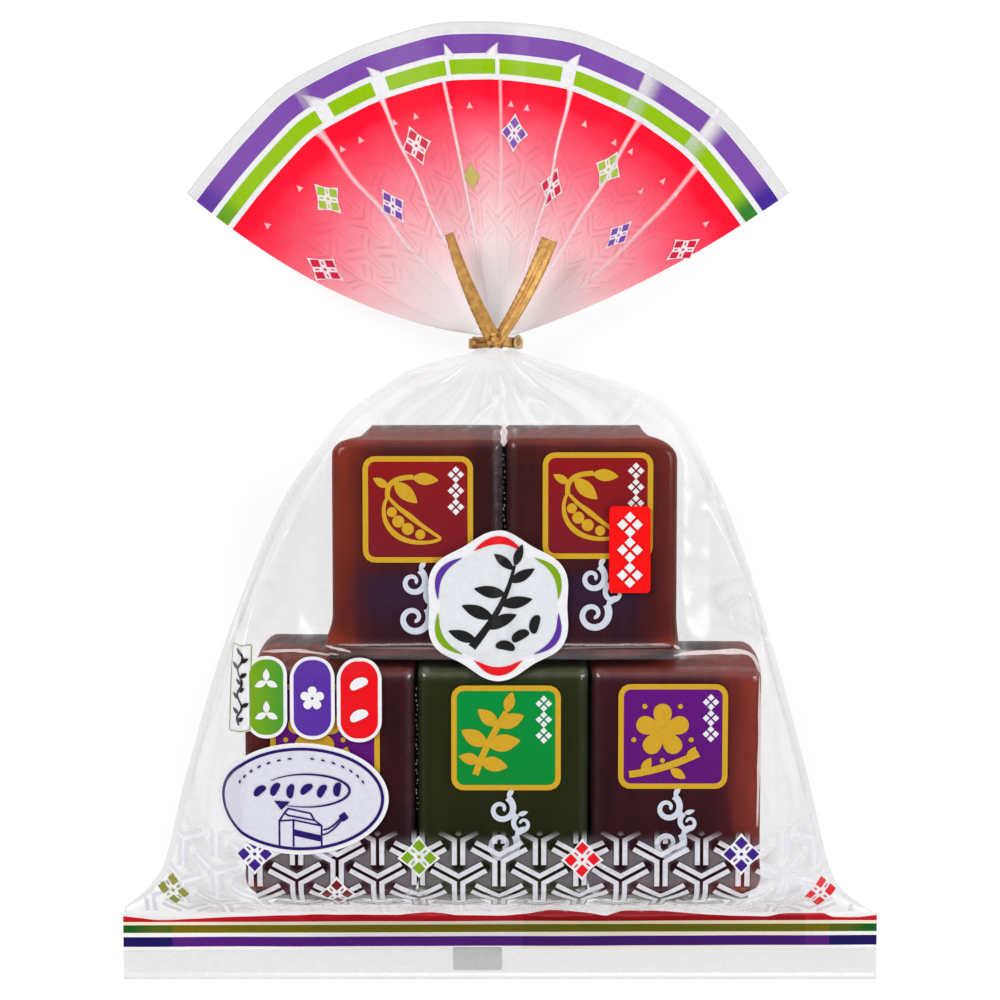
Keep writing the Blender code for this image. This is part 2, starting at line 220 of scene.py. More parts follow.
def joined(*coordinates):
    """Points from their coordinates, which may differ in shape."""
    return np.stack(np.broadcast_arrays(*coordinates), -1)


# The pouch's film as heights over the plan

def film_dip(x, y):
    """Depth of the front film between the blocks and over the empty shoulders: sums of humps."""
    in_lower = 1 - ramp(y, ROW_JOINT_Y - GROOVE_FADE, ROW_JOINT_Y)
    in_lower = in_lower * ramp(y, LOWER_END_Y - END_FADE, LOWER_END_Y)
    in_upper = ramp(y, ROW_JOINT_Y, ROW_JOINT_Y + GROOVE_FADE)
    in_upper = in_upper * (1 - ramp(y, UPPER_END_Y, UPPER_END_Y + END_FADE))
    lower = sum(bump(x, joint, GROOVE_WIDTH) for joint in LOWER_JOINTS)
    upper = bump(x, UPPER_ROW_X, GROOVE_WIDTH)
    between = bump(y, ROW_JOINT_Y, GROOVE_WIDTH)
    between = between * (1 - ramp(abs(x), LOWER_HALF - SHOULDER_LENGTH, LOWER_HALF))
    empty = ramp(abs(x - UPPER_ROW_X), UPPER_HALF, UPPER_HALF + SHOULDER_EDGE)
    empty = empty * in_upper * ramp(y, ROW_JOINT_Y, ROW_JOINT_Y + SHOULDER_LENGTH)
    groove = lower * in_lower + upper * in_upper + between
    return GROOVE_DEPTH * groove + SHOULDER_SAG * empty


def measures(y):
    """Row middle, pouch middle, half width, held half width, fold, top, back and to_neck at y."""
    to_neck = ramp(y, UPPER_END_Y, NECK_START_Y)
    row = LOWER_ROW_X * ramp(y, HEM_TOP_Y, LOWER_END_Y)
    row = row + (UPPER_ROW_X - LOWER_ROW_X) * ramp(y, ROW_JOINT_Y, 0)
    row = row + (NECK_X - UPPER_ROW_X) * to_neck
    tables = (MIDDLE, OUTLINE, SUPPORT, SIDE_FOLD, RIDGE, BACK)
    return row, *(along(table, y) for table in tables), to_neck


def slope_share(x, y):
    """Share of the way from the blocks' edge to the side fold: 0 over the blocks, 1 at the fold."""
    row, centre, half, held, _, _, _, _ = measures(y)
    side = np.where(x < row, -1.0, 1.0)
    inner = row + side * held
    return np.clip((x - inner) / (centre + side * half - inner), 0, 1)


def neck_folds(x, y):
    """Ridges, and the dips between them that carry only painted shade, in the angle round the neck."""
    across, down = x - NECK_X, NECK_Y - y
    reach = np.hypot(across, down)
    angle = np.arctan2(across, np.maximum(down, 0.1))
    warp = crinkle(x, y, 26, 3)
    near_neck = ramp(reach, 3.5, 8) * (1 - ramp(reach, 20, 52)) * (1 - 0.95 * snugness(x, y))
    folds = crease(angle * 8 + warp * 0.5, 2.4) + 0.8 * crease(angle * 14 + warp * 1.6 + 1, 3)
    folds = folds + 0.5 * crease(angle * 25 + warp * 2.2 + 2, 2.6) * (1 - ramp(reach, 10, 26))
    dips = crease(angle * 11 + warp * 1.1 + 0.7, 2) + 0.7 * crease(angle * 19 + warp * 2, 2)
    return folds * near_neck, dips * near_neck


def side_folds(x, y, out):
    """Ridges, and thin streaks of painted highlight and dips of painted shade, in the slope share,
    which run down the side slopes.
    """
    on_side = np.sin(math.pi * np.clip(out, 0, 1)) ** 0.7 * window(y, -80, 14, 5)
    sway = 0.9 * crinkle(x * 0.25, y * 0.6, 20, 5)
    weave = 1.4 * crinkle(x * 0.5, y * 0.5, 15, 9)
    folds = crease(out * 4.4 + sway + y * 0.012, 5)
    folds = folds + 0.6 * crease(out * 7.7 + weave - y * 0.02, 6)
    streaks = crease(out * 15 + 1.6 * sway + y * 0.015, 5) * on_side
    streaks = streaks * (0.5 + 0.5 * crinkle(x, y, 9, 91))
    dips = crease(out * 5.6 + 1.3 * sway + 0.8 - y * 0.01, 2.5)
    dips = dips + 0.7 * crease(out * 9.5 + 1.6 * crinkle(x * 0.4, y * 0.5, 14, 27) + 2, 3)
    dips = dips * on_side * (0.5 + 0.5 * crinkle(x, y, 13, 35))
    return folds * on_side, np.clip(streaks, 0, 1), np.clip(dips, 0, 1)


def end_folds(x, y):
    """Ridges that lie across the end above the hem, level ones and slanted ones."""
    at_end = window(y, -84.2, -77.4, 1.6) * window(x, -64, 62, 6)
    level = crease(y * 0.85 + 1.2 * crinkle(x, y * 0.3, 15, 7) + x * 0.01, 3)
    slanted = crease(y * 0.5 + x * 0.13 + 1.5 * crinkle(x, y, 22, 8), 5)
    return level * at_end + 0.7 * slanted * at_end


def wrinkles(x, y):
    """Height, painted highlight and painted shade of the film's folds at a place.

    Each is a weighted sum over the kinds of fold. Folds fan out from the neck, run
    down the side slopes and lie across the end above the hem. A wide and a fine
    crinkle cover everything. A painted glint and a painted shadow lie along a slant
    on the left shoulder. The painted highlight follows the sharp crests, the painted
    shade the soft valleys beside them.
    """
    out = slope_share(x, y)
    tight = snugness(x, y)
    loose = 1 - 0.85 * tight
    soft, fine = crinkle(x, y, 21, 13), crinkle(x, y, 6.5, 17)
    on_shoulder = (1 - tight) * window(y, -26, 27, 4) * (1 - ramp(out, 0.75, 1))
    sharp = crease(1.6 * crinkle(x, y, 17, 19) + 0.12 * x, 7) * on_shoulder
    neck, neck_dips = neck_folds(x, y)
    side, streaks, side_dips = side_folds(x, y, out)
    raised = {
        "neck": neck, "side": side, "end": end_folds(x, y), "sharp": sharp,
        "soft": loose * soft, "fine": loose * fine,
    }
    bright = {**raised, "streak": streaks, "fine": loose * np.clip(np.abs(fine) - 0.35, 0, 1)}
    painted_shade_by_kind = {"neck": neck_dips, "side": side_dips, "soft": loose * np.clip(soft - 0.3, 0, 1)}
    height = sum(share * raised[kind] for kind, share in FOLD_HEIGHT.items())
    white = sum(share * bright[kind] for kind, share in FOLD_HIGHLIGHT.items())
    grey = sum(share * painted_shade_by_kind[kind] for kind, share in FOLD_SHADE.items())
    # Painted glint and painted shadow along a slant on the left shoulder
    slant = x - 0.6 * (y - 20)
    at_shoulder = bump(y, 20, 4)
    white = white + 0.30 * bump(slant, -35.4, 0.8) * at_shoulder
    grey = grey + 0.22 * bump(slant, -32.5, 1.8) * at_shoulder
    in_pouch = window(y, HEM_TOP_Y + 1.5, NECK_START_Y - 2, 1.5)
    return height * in_pouch, white * in_pouch, np.clip(grey, 0, 1) * in_pouch


def snugness(x, y):
    """1 where the film lies tight on the blocks' fronts, 0 beside them."""
    over_upper = window(x, -UPPER_HALF, UPPER_HALF + 1, 1.5)
    over_upper = over_upper * (1 - ramp(y, UPPER_END_Y - 1, UPPER_END_Y + 2))
    over_lower = window(x, -LOWER_HALF, LOWER_HALF, 1.5) * window(y, -78.0, ROW_JOINT_Y + 2, 2)
    return np.maximum(over_upper * ramp(y, LOWER_END_Y, LOWER_END_Y + 2), over_lower)


def calmness(x, y):
    """How clear the film stays: where it is snug, and part of the way round the neck."""
    return np.maximum(snugness(x, y), 0.9 * ramp(y, 4, 14))


def film_front(x, y):
    """Height of the front film at a place.

    Level over the blocks, less the dips; a superellipse down to the side fold,
    (1 - out^p)^(1/p); plus the wrinkles.
    """
    _, _, _, _, fold, top, _, to_neck = measures(y)
    out = slope_share(x, y)
    power = SLOPE_POWER + (NECK_POWER - SLOPE_POWER) * to_neck
    front = fold + (top - fold) * (1 - out**power) ** (1 / power)
    front = front - film_dip(x, y) * (1 - out) * ramp(top, NECK_Z, POUCH_TOP_Z)
    front = front + wrinkles(x, y)[0] * (1 - ramp(out, 0.9, 1))
    front = np.maximum(front, fold + EDGE_THICKNESS / 2)
    return np.where(y <= HEM_TOP_Y, HEM_THICKNESS, front)


def film_back(x, y):
    """Height of the back film: flat, then a quarter ellipse up to the side fold."""
    _, centre, half, _, fold, _, back, to_neck = measures(y)
    curl = BACK_CURVE + (NECK_HALF_WIDTH - BACK_CURVE) * to_neck
    reach = np.clip((np.abs(x - centre) - (half - curl)) / curl, 0, 1)
    behind = fold - (fold - back) * np.sqrt(1 - reach**2)
    behind = np.minimum(behind, fold - EDGE_THICKNESS / 2)
    return np.where(y <= HEM_TOP_Y, 0.0, np.maximum(behind, 0.0))


def film_x(u, y):
    """Place across the film for u from -1 to 1: even over the blocks, even down each slope."""
    row, centre, half, held, _, _, _, _ = measures(y)
    side = np.sign(u)
    inside = row + held * u / HELD_SHARE
    edge = row + side * held
    slope = edge + (centre + side * half - edge) * (np.abs(u) - HELD_SHARE) / (1 - HELD_SHARE)
    return np.where(np.abs(u) <= HELD_SHARE, inside, slope)


# The fan's film as a function of angle and share

def neck_point(angle):
    """Where a column of the fan starts: x runs with the angle across the neck."""
    share = np.clip(angle / FAN_HALF_ANGLE, -1, 1)
    return NECK_X + NECK_HALF_WIDTH * share, np.sqrt(np.clip(1 - share**2, 0, 1))


def fold_mean(value_of, angle):
    """Mean of a value over a few nearby angles, which rounds off the folds."""
    return sum(value_of(angle + step) for step in FAN_ROUNDING) / len(FAN_ROUNDING)


def chord_radius(angle):
    """Radius of the rim, which is a little flatter than a circle between two folds."""
    folds = np.array(FAN_FOLDS)
    k = np.clip(np.searchsorted(folds, angle, side="right") - 1, 0, len(folds) - 2)
    middle, half = (folds[k] + folds[k + 1]) / 2, (folds[k + 1] - folds[k]) / 2
    chord = np.cos(np.radians(half)) / np.cos(np.radians(angle - middle))
    return FAN_RADIUS * (1 - FAN_FLATNESS * (1 - chord))


def pleat(angle):
    """Zigzag from -1 to 1 over the folds, level at both ends."""
    rises = np.where(np.arange(len(FAN_FOLDS)) % 2 == 1, 1.0, -1.0)
    rises[[0, -1]] = 0.0
    return np.interp(angle, FAN_FOLDS, rises)


def fan_lines(turn, sharp):
    """Fine ridges that run out from the neck, a little unevenly spaced."""
    return crease(turn * 19 + 1.5 * np.sin(turn * 5), sharp)


def fan_place(angle, v, lift=0.0, side=1.0):
    """A point of the fan's front (side 1) or back (side -1) film.

    A quadratic curve from the neck to the rim. Pleats rise and fall over the
    angle, growing with v^1.2.
    """
    angle, v = np.broadcast_arrays(np.asarray(angle, float), np.asarray(v, float))
    turn = np.radians(angle)
    share = np.clip(angle / FAN_HALF_ANGLE, -1, 1)
    extra = np.where(share < 0, *FAN_EXTRA_SPREAD)
    lean = turn * (FAN_SPREAD_AT_NECK + extra * share**2)
    start_x, round_up = neck_point(angle)
    start = joined(start_x, NECK_END_Y)
    pull = start + FAN_REACH * joined(np.sin(lean), np.cos(lean))
    radius = fold_mean(chord_radius, angle)
    rim = radius[..., None] * joined(np.sin(turn), np.cos(turn)) + FAN_CENTRE
    w = v[..., None]
    place = start * (1 - w) ** 2 + pull * 2 * w * (1 - w) + rim * w**2
    rise = fold_mean(pleat, angle)
    gathered = FAN_THICKNESS / 2 + (NECK_HALF_HEIGHT * round_up - FAN_THICKNESS / 2) * np.exp(
        -v / GATHER_FADE
    )
    fine = fan_lines(turn, 2) * v * (1 - v) * 1.3
    fine = fine + 0.25 * crinkle(angle * 0.9, v * 40, 17, 23) * v
    height = NECK_Z + (FAN_RIM_Z - NECK_Z) * v + PLEAT_RISE * rise * v**PLEAT_POWER
    height = height + fine * ramp(v, 0.05, 0.3) + side * (gathered + lift)
    return np.concatenate([place, height[..., None]], -1)


def from_rim(angle, distance):
    """The share v whose point lies the given distance in from the rim along its column."""
    angle, distance = np.broadcast_arrays(np.asarray(angle, float), np.asarray(distance, float))
    rim = fan_place(angle, np.ones_like(angle))[..., :2]
    v = 1 - distance / FAN_RADIUS
    for _ in range(5):
        gap = np.linalg.norm(rim - fan_place(angle, v)[..., :2], axis=-1)
        v = np.clip(1 - (1 - v) * distance / np.maximum(gap, 1e-6), 0.02, 1)
    return v


# Outlines and strokes

# Step between the grids of one print, which keeps them from lying in one plane
LAYER = 0.008


def rounded(a, b, radii, count=96):
    """Closed outline of a rectangle with rounded corners: corner centre plus a circle, evenly spaced.

    radii are those at the +x+y, -x+y, -x-y and +x-y corners.
    """
    turn = np.linspace(0, 2 * math.pi, 96, endpoint=False) + math.pi / 96
    r = np.array(np.broadcast_to(radii, 4), float)[(turn // (math.pi / 2)).astype(int)]
    x = np.sign(np.cos(turn)) * (a - r) + r * np.cos(turn)
    y = np.sign(np.sin(turn)) * (b - r) + r * np.sin(turn)
    return resample(joined(x, y), count)


def resample(points, count):
    """The closed line through the points at evenly spaced lengths; it ends where it starts."""
    points = np.concatenate([points, points[:1]])
    gone = np.concatenate([[0], np.cumsum(np.linalg.norm(np.diff(points, axis=0), axis=1))])
    at = np.linspace(0, gone[-1], count + 1)
    return np.stack([np.interp(at, gone, points[:, k]) for k in range(points.shape[1])], 1)


def polar(radius_of, count):
    """Closed outline r(t) round the origin."""
    t = np.linspace(0, 2 * math.pi, count + 1)
    r = radius_of(t)
    return joined(r * np.cos(t), r * np.sin(t))


def filled(outline, rings, centre=(0.0, 0.0)):
    """Grid of a filled outline: centre + v (outline - centre) for v from 1 to 0."""
    v = np.linspace(1, 0, rings + 1)[:, None, None]
    centre = np.array(centre, float)
    return centre + v * (outline - centre)[None]


def dot(at, radius, count=16):
    """A filled circle round a place."""
    return filled(polar(lambda t: radius + 0 * t, count) + at, 2, at)


def stroke(path, width, closed=False):
    """Grid of a line of the given width: path plus and minus half the width along its normal.

    At a corner the offset grows by one over the cosine of half the turn, so that
    the line keeps its width.
    """
    path = np.asarray(path, float)
    steps = np.diff(path, axis=0)
    steps = steps / np.maximum(np.linalg.norm(steps, axis=1, keepdims=True), 1e-9)
    if closed:
        before, after = np.roll(steps, 1, 0), steps
        before, after = np.concatenate([before, before[:1]]), np.concatenate([after, after[:1]])
    else:
        before, after = np.concatenate([steps[:1], steps]), np.concatenate([steps, steps[-1:]])
    tangent = before + after
    length = np.maximum(np.linalg.norm(tangent, axis=1, keepdims=True), 0.6)
    normal = np.stack([-tangent[:, 1], tangent[:, 0]], 1) / length * (2 / length)
    half = np.broadcast_to(np.asarray(width, float) / 2, len(path))[:, None]
    return np.stack([path + normal * half, path - normal * half], 1)


def polyline(points, step):
    """Straight runs through the points, with a place about every step and each corner kept."""
    points = np.asarray(points, float)
    runs = [points[:1]]
    for start, end in zip(points[:-1], points[1:]):
        count = max(1, int(math.ceil(np.linalg.norm(end - start) / step)))
        runs.append(start + (end - start) * np.linspace(0, 1, count + 1)[1:, None])
    return np.concatenate(runs)


def turned(points, degrees, at=(0.0, 0.0)):
    """Points turned about the origin and moved to a place."""
    c, s = math.cos(math.radians(degrees)), math.sin(math.radians(degrees))
    return np.asarray(points) @ np.array([[c, s], [-s, c]]) + np.asarray(at, float)


def on_film(points, lift):
    """Plan points laid on the front film, raised by the lift."""
    x, y = points[..., 0], points[..., 1]
    return joined(x, y, film_front(x, y) + lift)


def patch(outline, rings, at, lift):
    """A filled outline laid on the film at a place."""
    return on_film(filled(outline, rings) + at, lift)


def layered(grids, place, lift):
    """Lays grids one after another, each a hair higher than the one before."""
    return [place(grid, lift + LAYER * k) for k, grid in enumerate(grids)]


def at_height(points, z):
    """Plan points at one height."""
    return np.concatenate([points, np.full(points.shape[:-1] + (1,), float(z))], -1)


# Meshes

def piece(name, grids, material, slot, values, replaces=None, upward=False):
    """One mesh of quads over one or more grids of points; rows and columns that meet are merged.

    values names attributes, each a list with one array for each grid.
    """
    points, faces, count = [], [], 0
    for grid in grids:
        rows, columns = grid.shape[:2]
        index = np.arange(rows * columns).reshape(rows, columns) + count
        quads = np.stack([index[:-1, :-1], index[1:, :-1], index[1:, 1:], index[:-1, 1:]], -1)
        quads = quads.reshape(-1, 4)
        if upward:
            flat = grid.reshape(-1, 3)
            corner = flat[quads - count]
            area = np.cross(corner[:, 2] - corner[:, 0], corner[:, 3] - corner[:, 1])[:, 2].sum()
            quads = quads[:, ::-1] if area < 0 else quads
        points.append(grid.reshape(-1, 3))
        faces.append(quads)
        count += rows * columns
    points, faces = np.concatenate(points) * MM, np.concatenate(faces)
    mesh = bpy.data.meshes.new(name)
    mesh.vertices.add(len(points))
    mesh.vertices.foreach_set("co", points.astype(np.float32).ravel())
    mesh.loops.add(faces.size)
    mesh.loops.foreach_set("vertex_index", faces.astype(np.int32).ravel())
    mesh.polygons.add(len(faces))
    mesh.polygons.foreach_set("loop_start", np.arange(0, faces.size, 4, dtype=np.int32))
    mesh.update(calc_edges=True)
    for label, arrays in values.items():
        attribute = mesh.attributes.new(label, "FLOAT", "POINT")
        flat = np.concatenate([np.asarray(a, float).ravel() for a in arrays])
        attribute.data.foreach_set("value", flat.astype(np.float32))
    shape = bmesh.new()
    shape.from_mesh(mesh)
    bmesh.ops.remove_doubles(shape, verts=shape.verts, dist=2e-6)
    bmesh.ops.dissolve_degenerate(shape, edges=shape.edges, dist=1e-7)
    if not upward:
        bmesh.ops.recalc_face_normals(shape, faces=shape.faces)
    shape.to_mesh(mesh)
    shape.free()
    mesh.shade_smooth()
    mesh.materials.append(material)
    thing = bpy.data.objects.new(name, mesh)
    bpy.context.scene.collection.objects.link(thing)
    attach(thing, "root")
    if replaces:
        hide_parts(replaces)
    return thing


def printed(name, grids, material, slot="white_ink", **values):
    """A piece that faces up, such as ink, with a list of arrays for each of its values."""
    piece(name, grids, material, slot, values, upward=True)


def skin(front, back):
    """A front and a back grid, or their values, with the four strips that join their edges."""
    ends = [np.stack([front[k], back[k]]) for k in (0, -1)]
    sides = [np.stack([front[:, k], back[:, k]]) for k in (0, -1)]
    return [front, back, *ends, *sides]


# Materials

class Value:
    """A shader socket in arithmetic: each operator adds a Math node."""

    def __init__(self, shader, socket):
        self.shader, self.socket = shader, socket

    def math(self, operation, first, second, clamp=False):
        settings = {"operation": operation, "use_clamp": clamp}
        return self.shader.node("Math", settings, {0: first, 1: second})

    def __add__(self, other):
        return self.math("ADD", self, other)

    def __sub__(self, other):
        return self.math("SUBTRACT", self, other)

    def __rsub__(self, other):
        return self.math("SUBTRACT", other, self)

    def __mul__(self, other):
        return self.math("MULTIPLY", self, other)

    def __pow__(self, other):
        return self.math("POWER", self, other)

    def clamped(self):
        return self.math("ADD", self, 0.0, clamp=True)

    __radd__ = __add__
    __rmul__ = __mul__


class Shader:
    """A material whose nodes are added by one method."""

    def __init__(self, name):
        self.material = bpy.data.materials.new(name)
        self.material.use_nodes = True
        self.tree = self.material.node_tree
        self.principled = self.tree.nodes["Principled BSDF"]
        self.output = self.tree.nodes["Material Output"]
        self.place = self.node("TexCoord", output="Object")

    def node(self, kind, settings=None, sockets=None, output=0):
        """Adds a node: settings first, then its sockets' values or links. Gives one output."""
        made = self.tree.nodes.new("ShaderNode" + kind)
        for label, value in (settings or {}).items():
            if label == "stops":
                self.stops(made.color_ramp, value)
            else:
                setattr(made, label, value)
        for label, value in (sockets or {}).items():
            self.feed(made.inputs[label], value)
        return Value(self, made.outputs[output])

    def stops(self, band, stops):
        """Colour stops of a ramp as (place, colour)."""
        while len(band.elements) < len(stops):
            band.elements.new(1.0)
        for element, (place, colour) in zip(band.elements, stops):
            element.position = place
            element.color = (*colour, 1.0)

    def feed(self, socket, value):
        """Links a socket to a value, or sets its number or colour."""
        if isinstance(value, Value):
            self.tree.links.new(value.socket, socket)
        elif isinstance(value, tuple) and socket.type == "RGBA" and len(value) == 3:
            socket.default_value = (*value, 1.0)
        else:
            socket.default_value = value

    def noise(self, scale, detail, roughness=0.55, stretch=(1.0, 1.0, 1.0)):
        """Noise of about 1 over scale metres, 0 to 1, drawn out along the axes."""
        place = self.node("Mapping", None, {"Vector": self.place, "Scale": stretch})
        sockets = {"Vector": place, "Scale": scale, "Detail": detail, "Roughness": roughness}
        return self.node("TexNoise", None, sockets)

    def attribute(self, label):
        """The named number that the mesh carries."""
        return self.node("Attribute", {"attribute_name": label}, output="Fac")

    def mix(self, factor, first, second):
        """A colour from first to second by the factor."""
        settings = {"data_type": "RGBA"}
        sockets = {0: factor, 6: first, 7: second}
        return self.node("Mix", settings, sockets, output=2)

    def relief(self, height, distance, strength):
        """A Bump on the normal from a height, in metres."""
        sockets = {"Height": height, "Distance": distance, "Strength": strength}
        bumped = self.node("Bump", None, sockets, output="Normal")
        self.feed(self.principled.inputs["Normal"], bumped)
        return bumped

    def set(self, **sockets):
        """Sets or links the Principled sockets named with underscores for spaces."""
        for label, value in sockets.items():
            self.feed(self.principled.inputs[label.replace("_", " ")], value)

    def see_through(self, factor):
        """Mixes the finish over clear: factor 0 shows what is behind."""
        clear = self.node("BsdfTransparent")
        shown = Value(self, self.principled.outputs[0])
        mixed = self.node("MixShader", None, {0: factor, 1: clear, 2: shown})
        self.tree.links.new(mixed.socket, self.output.inputs["Surface"])


def clear_film(name, base, edge, whiten, roughness):
    """Clear plastic film: a weak grey mirror head on, stronger at a glance.

    Painted highlights whiten it in creases and painted shade greys it in soft folds, each by
    a value of the mesh; the grey one also holds the film's own grey tint at the hem and the
    fan's rim. Snug makes it clearer where it lies tight on something.
    """
    shader = Shader(name)
    veil, dusk = shader.attribute("veil"), shader.attribute("dusk")
    loose = 1.0 - 0.7 * shader.attribute("snug")
    crumple = shader.noise(420.0, 3.0)
    glance = shader.node("LayerWeight", {}, {"Blend": 0.30}, output="Fresnel")
    shader.relief(crumple, 0.00025, 0.4)
    clean = shader.mix(crumple, (0.44, 0.46, 0.47), (0.54, 0.55, 0.56))
    # Painted shade and the film's own tint grey it, painted highlights whiten it, and both take away
    # its mirror
    grey = shader.mix((4.0 * dusk).clamped(), clean, (0.50, 0.51, 0.53))
    shader.set(Base_Color=shader.mix((3.0 * veil).clamped(), grey, (0.97, 0.98, 0.98)))
    shader.set(Roughness=0.5 * crumple * roughness + roughness)
    shader.set(Metallic=(1.0 - (veil + dusk) * 2.5).clamped())
    streaks = (whiten * veil + 0.9 * dusk) * (0.7 + 0.6 * crumple)
    shader.see_through(((base + edge * glance) * loose + streaks).clamped())
    return shader.material


def ink(name, colour, deep=None, fade=False, gloss=0.35, cover=1.0):
    """Printed ink: slightly mottled, darker by the mesh's deep value, thinner by its fade value."""
    shader = Shader(name)
    mottle = shader.noise(900.0, 4.0)
    pale = tuple(min(1.0, c * 1.10 + 0.005) for c in colour)
    dark = tuple(c * 0.90 for c in colour)
    shade = shader.mix(mottle, dark, pale)
    if deep:
        shade = shader.mix(shader.attribute("deep"), shade, deep)
    shader.set(Base_Color=shade, Roughness=gloss * (0.8 + 0.4 * mottle))
    shader.set(Specular_IOR_Level=0.15)
    if fade:
        shader.set(Alpha=(cover * shader.attribute("fade") * (0.85 + 0.3 * mottle)).clamped())
    elif cover < 1:
        shader.set(Alpha=(cover * (0.9 + 0.2 * mottle)).clamped())
    return shader.material


def jelly(name, dark, mid, bright):
    """Dense bean jelly under a tight wrap: dark inside, with painted light where its edge lets light
    in.
    """
    shader = Shader(name)
    glow = shader.attribute("glow")
    cloud = shader.noise(90.0, 3.0)
    streak = shader.noise(420.0, 3.0, stretch=(1.0, 0.10, 0.4))
    grain = shader.noise(1500.0, 2.0)
    stops = [(0.0, dark), (0.45, mid), (1.0, bright)]
    place = (glow + 0.22 * (cloud - 0.5) + 0.34 * (streak - 0.5)).clamped()
    tone = shader.node("ValToRGB", {"stops": stops}, {0: place})
    # Painted dark bluish sheen
    tone = shader.mix(0.75 * shader.attribute("cool"), tone, (0.030, 0.014, 0.042))
    shader.set(Base_Color=tone, Roughness=0.40 + 0.16 * grain, Specular_IOR_Level=0.06)
    shader.set(Coat_Weight=0.03 + 0.05 * cloud, Coat_Roughness=0.12)
    shader.relief(grain, 0.00004, 0.5)
    return shader.material


def gold_foil(name, colour, deep):
    """Gold foil paper: embossed with small dots, darker where the mesh's edge value is high: along one
    edge, and as painted shade in creases and twists.
    """
    shader = Shader(name)
    crinkled = shader.noise(700.0, 4.0, 0.6)
    fleck = shader.noise(2200.0, 3.0)
    edge = shader.attribute("edge")
    tone = shader.mix((1.7 * crinkled - 0.5 + 0.8 * edge).clamped(), colour, deep)
    shader.set(Base_Color=tone, Metallic=0.10 + 0.30 * fleck, Roughness=0.30 + 0.20 * fleck)
    shader.relief(crinkled, 0.00030, 0.7)
    return shader.material


# Camera, light and floor

LENS_PIXELS = 2250.0
FRAME_PIXELS = 1000.0
SENSOR_MM = 36.0
CAMERA_TILT = 4.6
CAMERA_DISTANCE = 443.25
CAMERA_TARGET = (0.0, 4.0, 28.07)

# Room from the horizon to straight above, and the soft lights: place, size in metres, power
ROOM_SIDE = (0.42, 0.42, 0.43)
ROOM_TOP = (0.07, 0.07, 0.075)
ROOM_FADE = (0.55, 0.93)
LIGHTS = (
    ("key", (-0.55, 0.40, 0.70), 0.45, 5.2),
    ("fill", (0.65, 0.20, 0.60), 0.45, 3.9),
    ("low", (0.10, -0.75, 0.50), 0.45, 2.7),
)
FLOOR_GLOW = 0.82
FLOOR_REACH = 3000.0


def make_camera():
    """The camera above the bag, tilted a little from straight down."""
    tilt = math.radians(CAMERA_TILT)
    data = bpy.data.cameras.new("camera")
    data.sensor_width = SENSOR_MM
    data.lens = LENS_PIXELS / FRAME_PIXELS * SENSOR_MM
    data.clip_start, data.clip_end = 0.01, 20.0
    camera = bpy.data.objects.new("camera", data)
    view = Vector((0.0, -math.sin(tilt), -math.cos(tilt)))
    camera.location = (Vector(CAMERA_TARGET) - view * CAMERA_DISTANCE) * MM
    camera.rotation_euler = (-tilt, 0.0, 0.0)
    bpy.context.scene.collection.objects.link(camera)
    bpy.context.scene.camera = camera


def make_light(name, place, size, power):
    """A square soft light that faces the pack's middle."""
    data = bpy.data.lights.new(name, "AREA")
    data.shape = "SQUARE"
    data.size = size
    data.energy = power
    lamp = bpy.data.objects.new(name, data)
    lamp.location = place
    direction = Vector((0.0, -0.01, 0.01)) - Vector(place)
    lamp.rotation_euler = direction.to_track_quat("-Z", "Y").to_euler()
    bpy.context.scene.collection.objects.link(lamp)


def make_studio():
    """A dim room that is darker straight above, soft lights round it and a glowing pale floor."""
    scene = bpy.context.scene
    scene.view_settings.view_transform = "Standard"
    world = bpy.data.worlds.new("studio")
    scene.world = world
    world.use_nodes = True
    nodes, links = world.node_tree.nodes, world.node_tree.links
    place = nodes.new("ShaderNodeTexCoord")
    split = nodes.new("ShaderNodeSeparateXYZ")
    shade = nodes.new("ShaderNodeValToRGB")
    for stop, spot, colour in zip(shade.color_ramp.elements, ROOM_FADE, (ROOM_SIDE, ROOM_TOP)):
        stop.position, stop.color = spot, (*colour, 1.0)
    links.new(place.outputs["Generated"], split.inputs[0])
    links.new(split.outputs["Z"], shade.inputs[0])
    links.new(shade.outputs[0], nodes["Background"].inputs["Color"])
    nodes["Background"].inputs["Strength"].default_value = 1.0
    for lamp in LIGHTS:
        make_light(*lamp)
    shader = Shader("pale floor")
    speckle = shader.noise(30.0, 3.0)
    shader.set(Base_Color=shader.mix(speckle, (0.23, 0.23, 0.23), (0.26, 0.26, 0.26)))
    shader.set(Roughness=0.75 + 0.1 * speckle, Specular_IOR_Level=0.1)
    shader.set(Emission_Color=(1.0, 1.0, 1.0), Emission_Strength=FLOOR_GLOW)
    mesh = bpy.data.meshes.new("floor")
    reach = FLOOR_REACH * MM
    corners = [(-reach, -reach), (reach, -reach), (reach, reach), (-reach, reach)]
    mesh.from_pydata([(*corner, -0.2 * MM) for corner in corners], [], [(0, 1, 2, 3)])
    mesh.materials.append(shader.material)
    floor = bpy.data.objects.new("floor", mesh)
    scene.collection.objects.link(floor)


# Film

